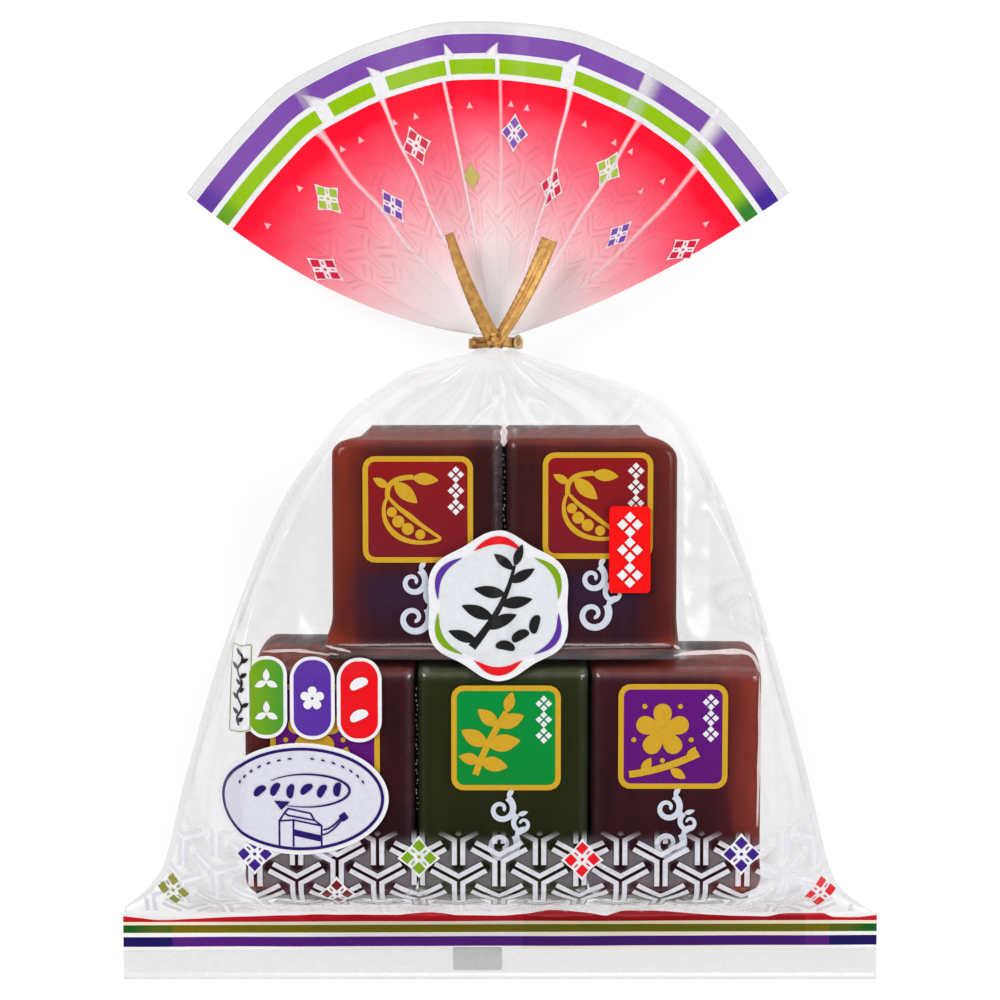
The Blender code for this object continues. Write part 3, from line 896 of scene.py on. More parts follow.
def make_bag_film(film):
    """The pouch with its flat hem and gathered neck, as one closed skin of two film layers."""
    rows = np.concatenate([
        np.linspace(-LENGTH / 2, HEM_TOP_Y, 9)[:-1],
        np.linspace(HEM_TOP_Y, -70.0, 44)[:-1],
        np.linspace(-70.0, 14.0, 116)[:-1],
        np.linspace(14.0, NECK_END_Y, 56),
    ])
    u = np.linspace(-1, 1, 221)
    y = np.repeat(rows[:, None], len(u), 1)
    x = film_x(u[None], y)
    out = slope_share(x, y)
    front = joined(x, y, film_front(x, y))
    back = joined(x, y, film_back(x, y))
    _, white, grey = wrinkles(x, y)
    # Painted highlight along the side fold and on the gathered film near the neck; the flat hem's own
    # grey tint
    at_edge = 0.05 * ramp(out, 0.95, 1.0) * (y > HEM_TOP_Y)
    at_hem = 0.17 * (y < HEM_TOP_Y)
    at_neck = 0.25 * ramp(y, 26, NECK_START_Y)
    over_blocks = np.abs(x - LOWER_ROW_X) < LOWER_HALF
    snug = calmness(x, y) + 0.35 * bump(y, -76.0, 1.8) * over_blocks
    # Painted highlight from the folds, the side fold, the glints beside the upper blocks and the neck;
    # the grey is painted shade plus the hem's tint
    veil = white + at_edge + block_shine(x, y) + at_neck
    values = {
        "veil": skin(np.clip(veil, 0, 1), np.clip(0.4 * white + at_edge, 0, 1)),
        "dusk": skin(np.clip(grey + at_hem, 0, 1), np.clip(0.3 * grey, 0, 1)),
        "snug": skin(snug, 0.7 * ramp(y, 4, 14)),
    }
    piece("bag_film", skin(front, back), film, "film", replaces="bag", values=values)


def block_shine(x, y):
    """Pale upright glints in the film just outside the long sides of the upper blocks."""
    left = bump(x, -UPPER_HALF + 0.1, 1.1) * window(y, -18, 12, 6)
    right = bump(x, UPPER_HALF + 1.7, 1.2) * window(y, -24, 12, 6)
    return 0.22 * (left + right)


def make_fan_film(film):
    """The fan's clear film, as one closed skin that starts inside the tied neck."""
    angle = np.linspace(-FAN_HALF_ANGLE, FAN_HALF_ANGLE, 241)[None]
    v = np.linspace(0, 1, 91)[:, None] ** 1.1
    angle, v = np.broadcast_arrays(angle, v)
    front, back = fan_place(angle, v), fan_place(angle, v, side=-1.0)
    turn = np.radians(angle)
    # Painted highlight on the fine ridges and on the gathered film near the neck, and the clear rim's
    # own grey tint
    lines = fan_lines(turn, 5) * (1 - v) ** 0.7
    veil = np.clip(0.30 * lines + 0.30 * (1 - ramp(v, 0.0, 0.35)) + 0.05, 0, 1)
    dusk = 0.10 * ramp(v, 0.9, 0.95) * (0.8 + 0.2 * crinkle(angle, v * 40, 9, 61))
    values = {"veil": skin(veil, veil), "dusk": skin(dusk, dusk)}
    piece("fan_film", skin(front, back), film, "film", values=values)


# Blocks

BLOCK_EDGE = 2.0
WRAP_THICKNESS = 0.12
BLOCK_FLOOR = 0.5
# How much longer the lower blocks are than the upper ones
LOWER_REACH = 2.0
# Room between a block and its place, at each side and at each end
SIDE_ROOM = 0.15
END_ROOM = 0.5
SIDE_BULGE = 0.55
SKIN_WAVE = 0.10
# Rows of a block's grid over a face, round an edge and up the side, and its points round the axis
FACE_ROWS = 16
EDGE_ROWS = 8
SIDE_ROWS = 16
ROUND_POINTS = 168
# Painted light of the jelly away from its edges
GLOW_INSIDE = 0.30


def block_skin(a, b, low, high, radii, edge, seed, shape):
    """A closed block with rounded edges, as a grid round its axis.

    Sections of a rounded rectangle, carried from the middle of the underside out,
    round the edge on a quarter circle, up the side, round again and in to the
    middle of the top. The sides bulge most in their lower half, where the soft
    blocks press against each other, and everything waves. The far and the near
    end lean in, the near corners flare, and in the depth the far corners are cut
    and part of the far end stands back.
    """
    quarter = np.linspace(0, math.pi / 2, EDGE_ROWS)
    share = np.linspace(0.02, 1, FACE_ROWS)
    inset = edge * (1 - np.sin(quarter))
    rise = edge * (1 - np.cos(quarter))
    wall = np.linspace(0, 1, SIDE_ROWS + 2)[1:-1]
    face = np.full(FACE_ROWS, edge)
    insets = np.concatenate([face, inset, np.zeros(SIDE_ROWS), inset[::-1], face])
    scales = np.concatenate([share, np.ones(2 * EDGE_ROWS + SIDE_ROWS), share[::-1]])
    heights = np.concatenate([
        np.full(FACE_ROWS, low), low + rise, low + edge + (high - low - 2 * edge) * wall,
        high - rise[::-1], np.full(FACE_ROWS, high),
    ])
    rings = []
    for step, scale, height in zip(insets, scales, heights):
        tall = (height - low) / (high - low)
        bulge = SIDE_BULGE * math.sin(math.pi * tall**0.7) ** 0.8 if 0 < tall < 1 else 0.0
        corners = np.maximum(radii - step, 0.3)
        outline = rounded(a - step + bulge, b - step + 0.9 * bulge, corners, ROUND_POINTS)
        rings.append(at_height(outline * scale, height))
    grid = np.stack(rings)
    x, y, z = np.moveaxis(grid.copy(), -1, 0)
    tall = ramp(z, 4, high)
    deep = 1 - ramp(z, 18, 26)
    at_far = ramp(y, b - 8, b)
    at_near = ramp(-y, b - 9, b - 1)
    left, right = shape["cut"]
    grid[..., 0] += at_far * deep * (left * ramp(-x, a - 8, a) - right * ramp(x, a - 8, a))
    left, right = shape["stand"]
    grid[..., 1] += at_far * deep * (left * (1 - ramp(x, 3, 8)) + right * ramp(x, -8, -3))
    left, right = shape["flare"]
    grid[..., 0] += at_near * (right * ramp(x, a - 6, a) - left * ramp(-x, a - 6, a))
    grid[..., 1] += (shape["near"] * ramp(-y, b - 8, b) - shape["far"] * at_far) * tall
    waves = SKIN_WAVE * crinkle(x, y, 15, seed) * ramp(scales, 0.2, 0.9)[:, None]
    grid[..., 2] += waves * (z > 1)
    grid[..., 1] += SKIN_WAVE * crinkle(z * 1.3, y + x, 17, seed + 1) * 0.5
    return grid


def block_glow(grid, a, b, lit):
    """Painted light in the jelly: bright along its lit sides, upper edge, rounded ends and near
    corners; dim in the middle and towards the near end.
    """
    x, y, z = np.moveaxis(grid, -1, 0)
    left, right, top = lit
    tone = GLOW_INSIDE + left * ramp(-x, a - 11, a) + right * ramp(x, a - 11, a)
    tone = tone + top * ramp(y, b - 9, b) - 0.18 * ramp(-y, -6, b)
    ends = ramp(y, b - 3.4, b - 1.4) + 0.8 * ramp(-y, b - 4.2, b - 2.8)
    tone = tone + 0.42 * ends * (z > BLOCK_DEPTH / 2)
    corner = left * ramp(-x, a - 7, a - 1) + right * ramp(x, a - 7, a - 1)
    tone = tone + 1.2 * np.maximum(ramp(-y, b - 7, b - 1) * corner, 0)
    return np.clip(tone, 0, 1)


def block_painted_sheen(grid, a):
    """Painted dark bluish sheen on the jelly in the near half of a block, away from its long sides."""
    x, y, _ = np.moveaxis(grid, -1, 0)
    near = ramp(-y, 3.0, 8.0) * (1 - 0.65 * ramp(-y, 9.0, 17.0))
    return near * (1 - ramp(x, a - 11, a - 3)) * ramp(x, -a + 1, -a + 9)


def wrap_painted_highlight(solid, cover, a, b, high, block, seed):
    """Painted highlight on a wrap: whiter folds at the ends and edges, pale near corners on the lower
    blocks, and glints along the rounded edges.
    """
    upper = block["at"][1] > 0
    x, y, _ = np.moveaxis(solid, -1, 0)
    corner = ramp(np.abs(x), a - 3.2, a - 0.4) * ramp(-y, b - 3.2, b - 0.4) * (not upper)
    x, y, z = np.moveaxis(cover, -1, 0)
    at_end = ramp(np.abs(y), b - 1.2, b)
    at_edge = ramp(np.maximum(np.abs(x) - a, np.abs(y) - b), -1.6, 0.1)
    folds = crease(x * 0.9 + z * 0.25 + crinkle(x, z, 9, seed), 3)
    rounding = ramp(z, high - 2.6, high - 1.8)
    far, near = b - block["far"], b - block["near"]
    glint = (0.05 if upper else 0.13) * ramp(y, far - 2.4, far - 1.2)
    glint = glint + 0.16 * upper * ramp(-y, near - 2.2, near - 1.0)
    veil = 0.06 * at_end * (0.3 + folds) + 0.06 * at_edge * folds + 0.55 * corner
    return np.clip(veil + rounding * glint * (0.8 + 0.4 * folds), 0, 1)


BLOCK_KEYS = ("at", "radii", "kind", "lit", "far", "near", "cut", "stand", "flare")
# Place on X and row, corner radii, jelly, lit left, right and upper side, lean of the far and the
# near end, and how far the left and the right corners are cut, stand back and flare
BLOCKS = {
    "upper_left": (
        (UPPER_ROW_X - BLOCK_PITCH / 2, 1), (0.9, 3.4, 1.2, 0.9), "red", (0.55, -0.25, 0.16),
        1.7, 1.8, (5.5, 0.0), (0.0, 0.0), (1.3, 0.0),
    ),
    "upper_right": (
        (UPPER_ROW_X + BLOCK_PITCH / 2, 1), (5.2, 0.9, 0.9, 1.6), "red", (-0.12, 0.34, 0.16),
        1.3, 1.8, (0.0, 4.5), (0.0, 0.0), (0.0, 0.4),
    ),
    "lower_left": (
        (LOWER_ROW_X - BLOCK_PITCH, -1), (0.9, 3.0, 4.0, 0.9), "plum", (0.25, -0.10, 0.12),
        1.3, 0.0, (2.0, 0.0), (2.2, 0.0), (0.3, 0.0),
    ),
    "lower_middle": (
        (LOWER_ROW_X, -1), (0.9, 0.9, 0.9, 0.9), "green", (0.05, 0.05, 0.10),
        1.3, 0.0, (0.0, 0.0), (0.0, 0.0), (0.0, 0.0),
    ),
    "lower_right": (
        (LOWER_ROW_X + BLOCK_PITCH, -1), (2.2, 0.9, 0.9, 4.0), "plum", (-0.10, 0.70, 0.14),
        1.3, 0.0, (0.0, -0.3), (0.0, 0.7), (0.0, 0.3),
    ),
}


def block_centre(spot):
    """Plan centre of a block; the row is 1 above the row joint and -1 below it."""
    x, row = spot
    return np.array([x, ROW_JOINT_Y + row * (BLOCK_LENGTH / 2)])


def make_blocks(jellies, wrap):
    """Five jelly blocks, each in its own tight wrap."""
    for number, (name, row) in enumerate(BLOCKS.items()):
        block = dict(zip(BLOCK_KEYS, row))
        upper = block["at"][1] > 0
        reach = 0.0 if upper else LOWER_REACH / 2
        a = BLOCK_WIDTH / 2 - SIDE_ROOM
        b = BLOCK_LENGTH / 2 - END_ROOM + reach
        radii = np.array(block["radii"])
        kind, seed = block["kind"], 40 + 3 * number
        centre = np.array([*block_centre(block["at"]), 0.0]) - (0.0, reach, 0.0)
        low, high = BLOCK_FLOOR, BLOCK_DEPTH - WRAP_THICKNESS
        solid = block_skin(a, b, low, high, radii, BLOCK_EDGE, seed, block)
        # Painted light in the jelly, and a painted bluish sheen on the upper blocks
        glow, cool = block_glow(solid, a, b, block["lit"]), upper * block_painted_sheen(solid, a)
        values = {"glow": [glow], "cool": [cool]}
        piece("yokan_" + name, [solid + centre], jellies[kind], "yokan_" + kind, values=values)
        out = WRAP_THICKNESS
        edge = BLOCK_EDGE + out
        cover = block_skin(a + out, b + out, low - out, high + out, radii + out, edge, seed, block)
        snug = 1.2 * ramp(-cover[..., 1], b - 4, b - 2) * (not upper)
        values = {"veil": [wrap_painted_highlight(solid, cover, a, b, high, block, seed)], "snug": [snug]}
        piece("wrap_" + name, [cover + centre], wrap, "block_wrap", values=values)


# Painted highlights on the crimped upright joints: middle, low end, high end, step between dashes,
# share of white
WRAP_JOINTS = (
    (UPPER_ROW_X - 0.1, -8.0, 14.5, 1.1, 0.30),
    (LOWER_JOINTS[0] + 0.1, -58.0, -33.0, 1.0, 0.26),
)
# Glints on the folds: path in plan, width, share of white
WRAP_GLINTS = (
    (
        ((34.0, -27.3), (36.0, -26.6), (42.0, -26.3), (48.8, -26.1), (50.6, -27.2), (51.7, -30.8)),
        1.15, 0.85,
    ),
    (((51.5, -30.6), (51.6, -44.0), (51.3, -62.0)), 0.70, 0.72),
    (((-47.8, -26.2), (-40.0, -25.9), (-33.2, -27.0)), 0.75, 0.70),
    (((-33.0, -25.4), (0.0, -25.6), (34.6, -25.2)), 0.50, 0.20),
    (((-35.0, -24.6), (-33.6, -25.6), (-31.8, -25.5), (-29.0, -26.5)), 0.60, 0.75),
    (((-34.6, -26.4), (-32.8, -26.9), (-31.4, -26.8)), 0.40, 0.55),
    (((34.0, -24.6), (34.9, -25.3), (36.2, -25.9)), 0.70, 0.80),
    (((0.75, 14.0), (0.75, 19.6)), 1.5, 0.80),
)


def softened(path, reach):
    """A polyline whose corners are rounded by a moving average of its points."""
    padded = np.concatenate([np.repeat(path[:1], reach, 0), path, np.repeat(path[-1:], reach, 0)])
    total = np.cumsum(np.concatenate([np.zeros((1, 2)), padded]), 0)
    span = 2 * reach + 1
    return (total[span:] - total[:-span]) / span


def make_wrap_edges(white):
    """Painted highlights on the wraps' crimped edges: dashes in two upright joints, a faint line
    beside each, and glints on the folds.
    """
    grids, fades = [], []
    top = BLOCK_DEPTH - 1.1
    draw = np.random.default_rng(57)
    for middle, low, high, step, bright in WRAP_JOINTS:
        for k in range(int((high - low) / step)):
            at = (middle + 0.15 * math.sin(k * 1.3), low + step * k + draw.uniform(-0.25, 0.25))
            dash = rounded(0.11, draw.uniform(0.12, 0.30), 0.1, 12)
            grids.append(at_height(filled(dash, 1) + at, top))
            fades.append(np.full(grids[-1].shape[:2], bright * draw.uniform(0.25, 1.0)))
        line = polyline([(middle + 1.1, low), (middle + 1.0, high)], 1.0)
        grids.append(at_height(stroke(line, 0.20), top - 0.2))
        fades.append(np.full(grids[-1].shape[:2], 0.16))
    for path, width, bright in WRAP_GLINTS:
        line = softened(polyline(path, 0.3), 7)
        share = np.linspace(-1, 1, len(line))
        plan = stroke(line, width * (1 - 0.6 * share**2) * (0.85 + 0.15 * np.sin(9 * share)))
        height = np.minimum(BLOCK_DEPTH + 0.12, film_front(plan[..., 0], plan[..., 1]) - 0.3)
        grids.append(np.concatenate([plan, height[..., None]], -1))
        fades.append(np.repeat((bright * (1 - 0.5 * share**4))[:, None], 2, 1))
    printed("wrap_edge_highlights", grids, white, "block_wrap", fade=fades)


def make_row_seam(shade):
    """Dark folded wrap between the two rows, and painted shade in the joint there, as a strip that is
    palest along its upper edge.
    """
    x = np.linspace(-UPPER_HALF + 0.6, UPPER_HALF + 1.0, 220)[None]
    v = np.linspace(0, 1, 12)[:, None]
    x, v = np.broadcast_arrays(x, v)
    y = -25.7 - 2.3 * v + 0.12 * crinkle(x, v * 3, 12, 71)
    height = np.minimum(BLOCK_DEPTH - 0.2, film_front(x, y) - 0.4)
    fade = window(v, 0, 1, 0.2) * window(x, -UPPER_HALF + 0.6, UPPER_HALF + 1.0, 1.5)
    deep = np.clip(1.2 * v + 0.35 * crinkle(x * 0.5, v * 4, 6, 72) - 0.1, 0, 1)
    printed("wrap_seam_shade", [joined(x, y, height)], shade, "block_wrap", fade=[fade], deep=[deep])


def make_wrap_end_shade(shade):
    """Painted shade below the lower blocks' wrapped ends, in blots that fade towards the hem."""
    start = LOWER_END_Y + 0.2
    y = np.linspace(start, start - 7.0, 32)[:, None]
    x = np.linspace(-LOWER_HALF + 3, LOWER_HALF - 2, 260)[None]
    x, y = np.broadcast_arrays(x, y)
    height = np.minimum(film_front(x, y) - 0.5, BLOCK_DEPTH - 0.5)
    down = start - y
    blot = bump(x, -33.5, 4) + bump(x, 33.5, 5) + 0.6 * bump(x, 12, 5) + 0.5 * bump(x, -9, 5)
    blot = np.clip(blot, 0, 1)
    reach = 4.0 + 3.0 * blot + 0.8 * crinkle(x, y, 5, 83)
    fade = (0.85 + 0.15 * blot) * (1 - ramp(down / reach, 0.6, 1.0)) * ramp(down, 0, 0.8)
    fade = np.clip(fade, 0, 1)
    printed("wrap_end_shade", [joined(x, y, height)], shade, "block_wrap", fade=[fade])


# Prints on the blocks

SEAL_HALF = (10.35, 10.0)
SEAL_CORNER = 1.9
SEAL_LINE = 1.08
SEAL_Z = BLOCK_DEPTH + 0.16
# Heights of the gold and white print and of the scroll over the seal's field
MOTIF_RISE = 0.05
SCROLL_RISE = 0.04
MOTIF_SHIFT = (-1.5, -0.2)
# Three small rhombs at the seal's right: size, first place, step down
SEAL_RHOMB = 1.75
SEAL_RHOMB_AT = (7.5, 6.9)
SEAL_RHOMB_STEP = 3.2
SEALS = {
    "upper_left": ((-16.2, 2.1), "red"),
    "upper_right": ((19.3, 2.85), "red"),
    "lower_left": ((-34.8, -43.2), "purple"),
    "lower_middle": ((1.2, -43.5), "green"),
    "lower_right": ((34.4, -43.2), "purple"),
}


def bean(length, width):
    """Kidney outline: an ellipse whose one long side is pressed in."""
    t = np.linspace(0, 2 * math.pi, 49)
    x, y = length * np.cos(t), width * np.sin(t)
    return joined(x, y + 0.448 * width * (1 - (x / length) ** 2) * (y < 0))


def leaf(length, width):
    """Pointed leaf from the origin along +x: half width is w sin(pi s)^0.8."""
    s = np.linspace(0, 1, 25)
    half = width * np.sin(math.pi * s) ** 0.8 * (1 - 0.25 * s)
    return np.stack([joined(length * s, half), joined(length * s, -half)], 1)


def leaves(slim, rows):
    """Leaves whose half width is a share of their length, at rows of direction, place, length."""
    return [turned(leaf(size, size * slim), way, at) for way, at, size in rows]


def bean_at(spot, way, length, width, rings):
    """A filled bean at a place, turned by degrees."""
    return filled(turned(bean(length, width), way, spot), rings, spot)


def petal(length, width):
    """Round petal from the origin along +x: a circle drawn out to the flower's middle."""
    t = np.linspace(0, 2 * math.pi, 41)
    x = length * (0.55 + 0.45 * np.cos(t))
    return joined(x, width * np.sin(t) * (0.55 + 0.45 * x / length))


def spiral(centre, start, turns, ends):
    """Points that wind in towards the centre while the radius falls evenly between two ends."""
    t = np.linspace(0, 1, 60)
    angle = math.radians(start) + 2 * math.pi * turns * t
    r = ends[0] + (ends[1] - ends[0]) * t
    return np.stack([centre[0] + r * np.cos(angle), centre[1] + r * np.sin(angle)], 1)


def bean_motif():
    """An open pod with four beans in it, hanging from a stem with three leaves."""
    middle = bent((-4.4, 2.6), (-3.8, -4.4), (6.0, -5.6), 40)[:, :2]
    share = np.linspace(0, 1, 40)
    side = np.stack([-np.gradient(middle[:, 1]), np.gradient(middle[:, 0])], 1)
    side = side / np.linalg.norm(side, axis=1, keepdims=True)
    half = (2.3 * np.sin(math.pi * share) ** 0.75)[:, None]
    shell = 1.1 - 0.5 * np.abs(2 * share - 1)
    grids = [stroke(middle + side * half, shell), stroke(middle - side * half, shell)]
    for spot, size in ((9, 1.0), (16, 1.2), (23, 1.2), (30, 1.0)):
        grids.append(dot(middle[spot], size, 24))
    stem = bent((-4.4, 2.4), (-5.2, 6.6), (0.6, 6.6), 20)[:, :2]
    grids.append(stroke(stem, 1.0))
    rows = ((-42, (-3.2, 5.6), 6.2), (-6, (0.4, 6.5), 5.2), (150, (-4.2, 4.6), 3.6))
    return grids + leaves(0.26, rows)


def tea_motif():
    """A tea sprig: a bent stem with leaves in pairs and a bud at its tip."""
    stem = bent((-4.6, -7.2), (-2.6, -1.0), (1.6, 5.4), 24)[:, :2]
    rows = (
        (-12, 5, 5.6), (166, 5, 4.4), (8, 11, 6.6), (150, 11, 6.0), (22, 18, 5.6), (140, 18, 5.2),
        (74, 23, 4.2),
    )
    return [stroke(stem, 1.3), *leaves(0.30, ((way, stem[k], size) for way, k, size in rows))]


def blossom_motif():
    """A plum blossom of five petals with stamens, over a twig with a bud and a leaf."""
    grids = []
    middle = (-0.6, 1.4)
    for k in range(5):
        outline = turned(petal(5.4, 2.2), 90 + 72 * k, middle)
        grids.append(filled(outline, 3, outline[:-1].mean(0)))
        grids.append(dot(turned([[6.0, 0.0]], 126 + 72 * k, middle)[0], 0.5))
    grids.append(dot(middle, 0.8))
    twig = bent((-7.2, -7.4), (-0.4, -6.6), (6.6, -3.2), 24)[:, :2]
    grids.append(stroke(twig, 1.4))
    rows = ((62, (-4.6, -7.2), 3.6), (-32, (1.0, -6.3), 3.6), (60, (4.4, -4.6), 3.2))
    return grids + leaves(0.30, rows)


def scroll():
    """Three fern curls of falling width, each with a small leaf at its foot."""
    share = np.linspace(0, 1, 60)
    grids = []
    for centre, start, turns, reach, width, way, size in (
        ((-1.0, -14.4), 62, -1.25, (2.7, 0.5), 1.35, 58, 2.4),
        ((3.3, -17.3), 120, 1.15, (2.0, 0.4), 1.1, 18, 2.2),
        ((-0.9, -21.6), 36, -1.3, (3.3, 0.6), 1.5, 40, 2.8),
    ):
        curl = spiral(centre, start, turns, reach)
        grids.append(stroke(curl, width * (1 - 0.55 * share)))
        grids += leaves(0.26, [(way, curl[0], size)])
    return grids


def make_seals(gold, fields, white, pale):
    """Square seals and a pale scroll below each, printed on the wraps."""
    motifs = {"red": bean_motif, "green": tea_motif, "purple": blossom_motif}
    outline = rounded(*SEAL_HALF, SEAL_CORNER, 96)
    inner = filled(rounded(SEAL_HALF[0] - 0.3, SEAL_HALF[1] - 0.3, SEAL_CORNER, 96), 6)
    # Painted light: each field is lighter towards its far edge
    glow = 0.5 + inner[..., 1] / (2 * SEAL_HALF[1])
    golds, whites, vines = [], [], []
    for name, (at, kind) in SEALS.items():
        at = np.array(at)
        field = at_height(inner + at, SEAL_Z)
        printed("seal_" + name, [field], fields[kind], kind + "_ink", deep=[glow])
        golds.append(at_height(stroke(outline, SEAL_LINE, closed=True) + at, SEAL_Z + MOTIF_RISE))
        motif = [grid + at + MOTIF_SHIFT for grid in motifs[kind]()]
        golds += layered(motif, at_height, SEAL_Z + MOTIF_RISE)
        for k in range(3):
            spot = at + SEAL_RHOMB_AT - (0.0, SEAL_RHOMB_STEP * k)
            for quad in diamond_quads(SEAL_RHOMB):
                whites.append(at_height(quad + spot, SEAL_Z + MOTIF_RISE))
        vines += layered([grid + at for grid in scroll()], at_height, SEAL_Z + SCROLL_RISE)
    printed("seal_gold", golds, gold, "gold_ink")
    printed("seal_white", whites, white)
    printed("seal_scrolls", vines, pale)


# Prints on the film

# Heights of the prints above the film, from the lowest up
GROUND_LIFT, TILE_RIM_LIFT, TILE_LIFT = 0.09, 0.14, 0.18
RHOMB_GROUND_LIFT, STRIP_LIFT, RHOMB_LIFT = 0.21, 0.24, 0.26
LABEL_LIFT, FIELD_LIFT, VINE_LIFT, MARK_LIFT, DRAWING_LIFT = 0.30, 0.36, 0.40, 0.42, 0.43

# The band of tiles: its top, where its lines and its ground fade out, and where the rims of painted
# shadow start
BAND_TOP_Y = -61.8
LINE_FADE_Y = (-65.5, -62.0)
GROUND_FADE_Y = (-67.0, -62.5)
RIM_START_Y = -74.6
TILE_LINE = 1.0
TILE_RIM = 1.6
TILE_FIRST = (-8.26, -72.2)
TILE_PITCH = (16.15, 8.7)
TILE_SQUEEZE = 0.935
TILE_ARM = 5.9
TILE_HALF = 0.84


def tile_axes():
    """The three arms of a tile, from its middle: up right, up left and down."""
    return [np.array([math.cos(a), math.sin(a)]) for a in np.radians((30.0, 150.0, -90.0))]


def tile_strokes(step):
    """Three bent lines of a tile: each follows two neighbouring arms at the line's offset."""
    arms = tile_axes()
    strokes = []
    for one, two in ((0, 1), (1, 2), (2, 0)):
        notch = (arms[one] + arms[two]) * TILE_HALF / math.sin(math.radians(60))
        ends = []
        for arm, other in ((arms[one], arms[two]), (arms[two], arms[one])):
            beside = other - arm * (arm @ other)
            ends.append(arm * TILE_ARM + beside / np.linalg.norm(beside) * TILE_HALF)
        strokes.append(polyline([ends[0], notch, ends[1]], step))
    return strokes


def arm_distance(x, y):
    """Distance from a place to the nearest arm of the tiles round it, in the tile's own measure."""
    column = (x - TILE_FIRST[0]) / (TILE_PITCH[0] / 2)
    nearest = np.full(np.shape(x), 1e3)
    for step_x in (-1, 0, 1, 2):
        k = np.floor(column) + step_x
        row = (y - TILE_FIRST[1]) / TILE_PITCH[1] - (k % 2) / 2
        for step_y in (-1, 0, 1, 2):
            j = np.floor(row) + step_y
            across = x - TILE_FIRST[0] - k * TILE_PITCH[0] / 2
            up = (y - TILE_FIRST[1] - (j + (k % 2) / 2) * TILE_PITCH[1]) / TILE_SQUEEZE
            for arm in tile_axes():
                gone = np.clip(across * arm[0] + up * arm[1], 0, TILE_ARM)
                gap = np.hypot(across - gone * arm[0], up - gone * arm[1])
                nearest = np.minimum(nearest, gap)
    return nearest


def spread(x):
    """How far the print is drawn outward beside the blocks."""
    return 0.9 * (ramp(x, 44, 62) - ramp(-x, 44, 62))


def tile_places():
    """Middles of the tiles that reach into the band, column by column."""
    for column in range(-9, 11):
        for row in range(-2, 3):
            rise = row * TILE_PITCH[1] + (column % 2) * TILE_PITCH[1] / 2
            at = np.array(TILE_FIRST) + (column * TILE_PITCH[0] / 2, rise)
            if -88 < at[1] < -58 and abs(at[0]) <= 76:
                yield at


def tile_runs(width, shown):
    """The tiles' lines at the given width, each cut to the places where shown(x, y) holds."""
    strokes = tile_strokes(0.5)
    for at in tile_places():
        for path in strokes:
            grid = stroke(path, width) * (1, TILE_SQUEEZE) + at
            grid[..., 0] += spread(grid[..., 0])
            x, y = grid[..., 0], grid[..., 1]
            keep = (y > HEM_TOP_Y + 0.5) & (y < BAND_TOP_Y) & (slope_share(x, y) < 0.94)
            grid = grid[(keep & shown(x, y)).all(1)]
            if len(grid) >= 3 and np.linalg.norm(np.diff(grid[:, 0], axis=0), axis=1).max() <= 2:
                yield grid


def make_pattern(white, haze, shadow):
    """A band of three-armed tiles, drawn by pale double lines on grey, fading out at its top.

    Below the blocks' ends the lines have thin dark rims of painted shadow.
    """
    lines, fades = [], []
    for run in tile_runs(TILE_LINE, lambda x, y: y < BAND_TOP_Y):
        x, y = run[..., 0], run[..., 1]
        steep = 1 - 0.7 * ramp(-y, 80.2, 81.4) * (np.abs(x) < 52)
        lines.append(on_film(run, TILE_LIFT))
        fades.append((1 - ramp(y, *LINE_FADE_Y)) * steep)
    printed("pattern_lines", lines, white, "silver_ink", fade=fades)
    rims, fades = [], []
    for run in tile_runs(TILE_RIM, lambda x, y: (y < RIM_START_Y) & (np.abs(x) < 49)):
        x, y = run[..., 0], run[..., 1]
        rims.append(on_film(run, TILE_RIM_LIFT))
        fades.append(window(y, -80.8, -75.5, 1.0) * window(x, -46, 46, 3))
    printed("pattern_rim_shadows", rims, shadow, "silver_ink", fade=fades)
    y = np.linspace(HEM_TOP_Y + 0.4, -62.0, 62)[:, None]
    u = np.linspace(-0.97, 0.97, 420)[None]
    y = np.repeat(y, u.shape[1], 1)
    x = film_x(np.repeat(u, y.shape[0], 0), y)
    ground = on_film(joined(x, y), GROUND_LIFT)
    fade = (1 - ramp(y, *GROUND_FADE_Y)) * ramp(arm_distance(x - spread(x), y), 1.15, 1.75)
    beside = ramp(np.abs(x - LOWER_ROW_X), LOWER_HALF - 1, LOWER_HALF + 3)
    fade = fade * (1 - beside * (0.55 + 0.45 * ramp(np.abs(x), 62, 69)))
    fade = fade * (1 - 0.9 * ramp(-y, 72.6, 74.6) * (1 - beside))
    printed("pattern_ground", [ground], haze, "silver_ink", fade=[fade])


def diamond_quads(size, share=0.40, gap=0.54):
    """Four small rhombs with gaps between them, from the +x one round."""
    cell, reach = size * share, size * gap
    t = np.linspace(-1, 1, 6)
    s, q = np.meshgrid(t, t, indexing="ij")
    square = joined((s + q) / 2, (s - q) / 2) * cell
    return [square + reach * np.array(way) for way in ((1, 0), (0, 1), (-1, 0), (0, -1))]


def rhomb_parts(size):
    """An ornament's four cells, a dash in each gap between them and a dot in its middle."""
    parts = diamond_quads(size, 0.36, 0.63)
    for way in (45, 135, 225, 315):
        dash = polyline([(0.34 * size, 0.0), (0.60 * size, 0.0)], 0.3)
        parts.append(turned(stroke(dash, 0.09 * size), way))
    parts.append(filled(rounded(0.09 * size, 0.09 * size, 0.04 * size, 12), 1))
    return parts


def pinched(size, pinch):
    """Outline of a rhomb whose sides bend in towards the middle of each."""
    s = np.linspace(0, 1, 13)[:-1]
    runs = []
    for k in range(4):
        way = np.array([math.cos(k * math.pi / 2), math.sin(k * math.pi / 2)])
        turn = np.array([-way[1], way[0]])
        scale = 1 - (1 - pinch) * (1 - np.abs(2 * s - 1) ** 1.5)
        runs.append((way * (1 - s)[:, None] + turn * s[:, None]) * scale[:, None])
    outline = np.concatenate(runs) * size
    return np.concatenate([outline, outline[:1]])


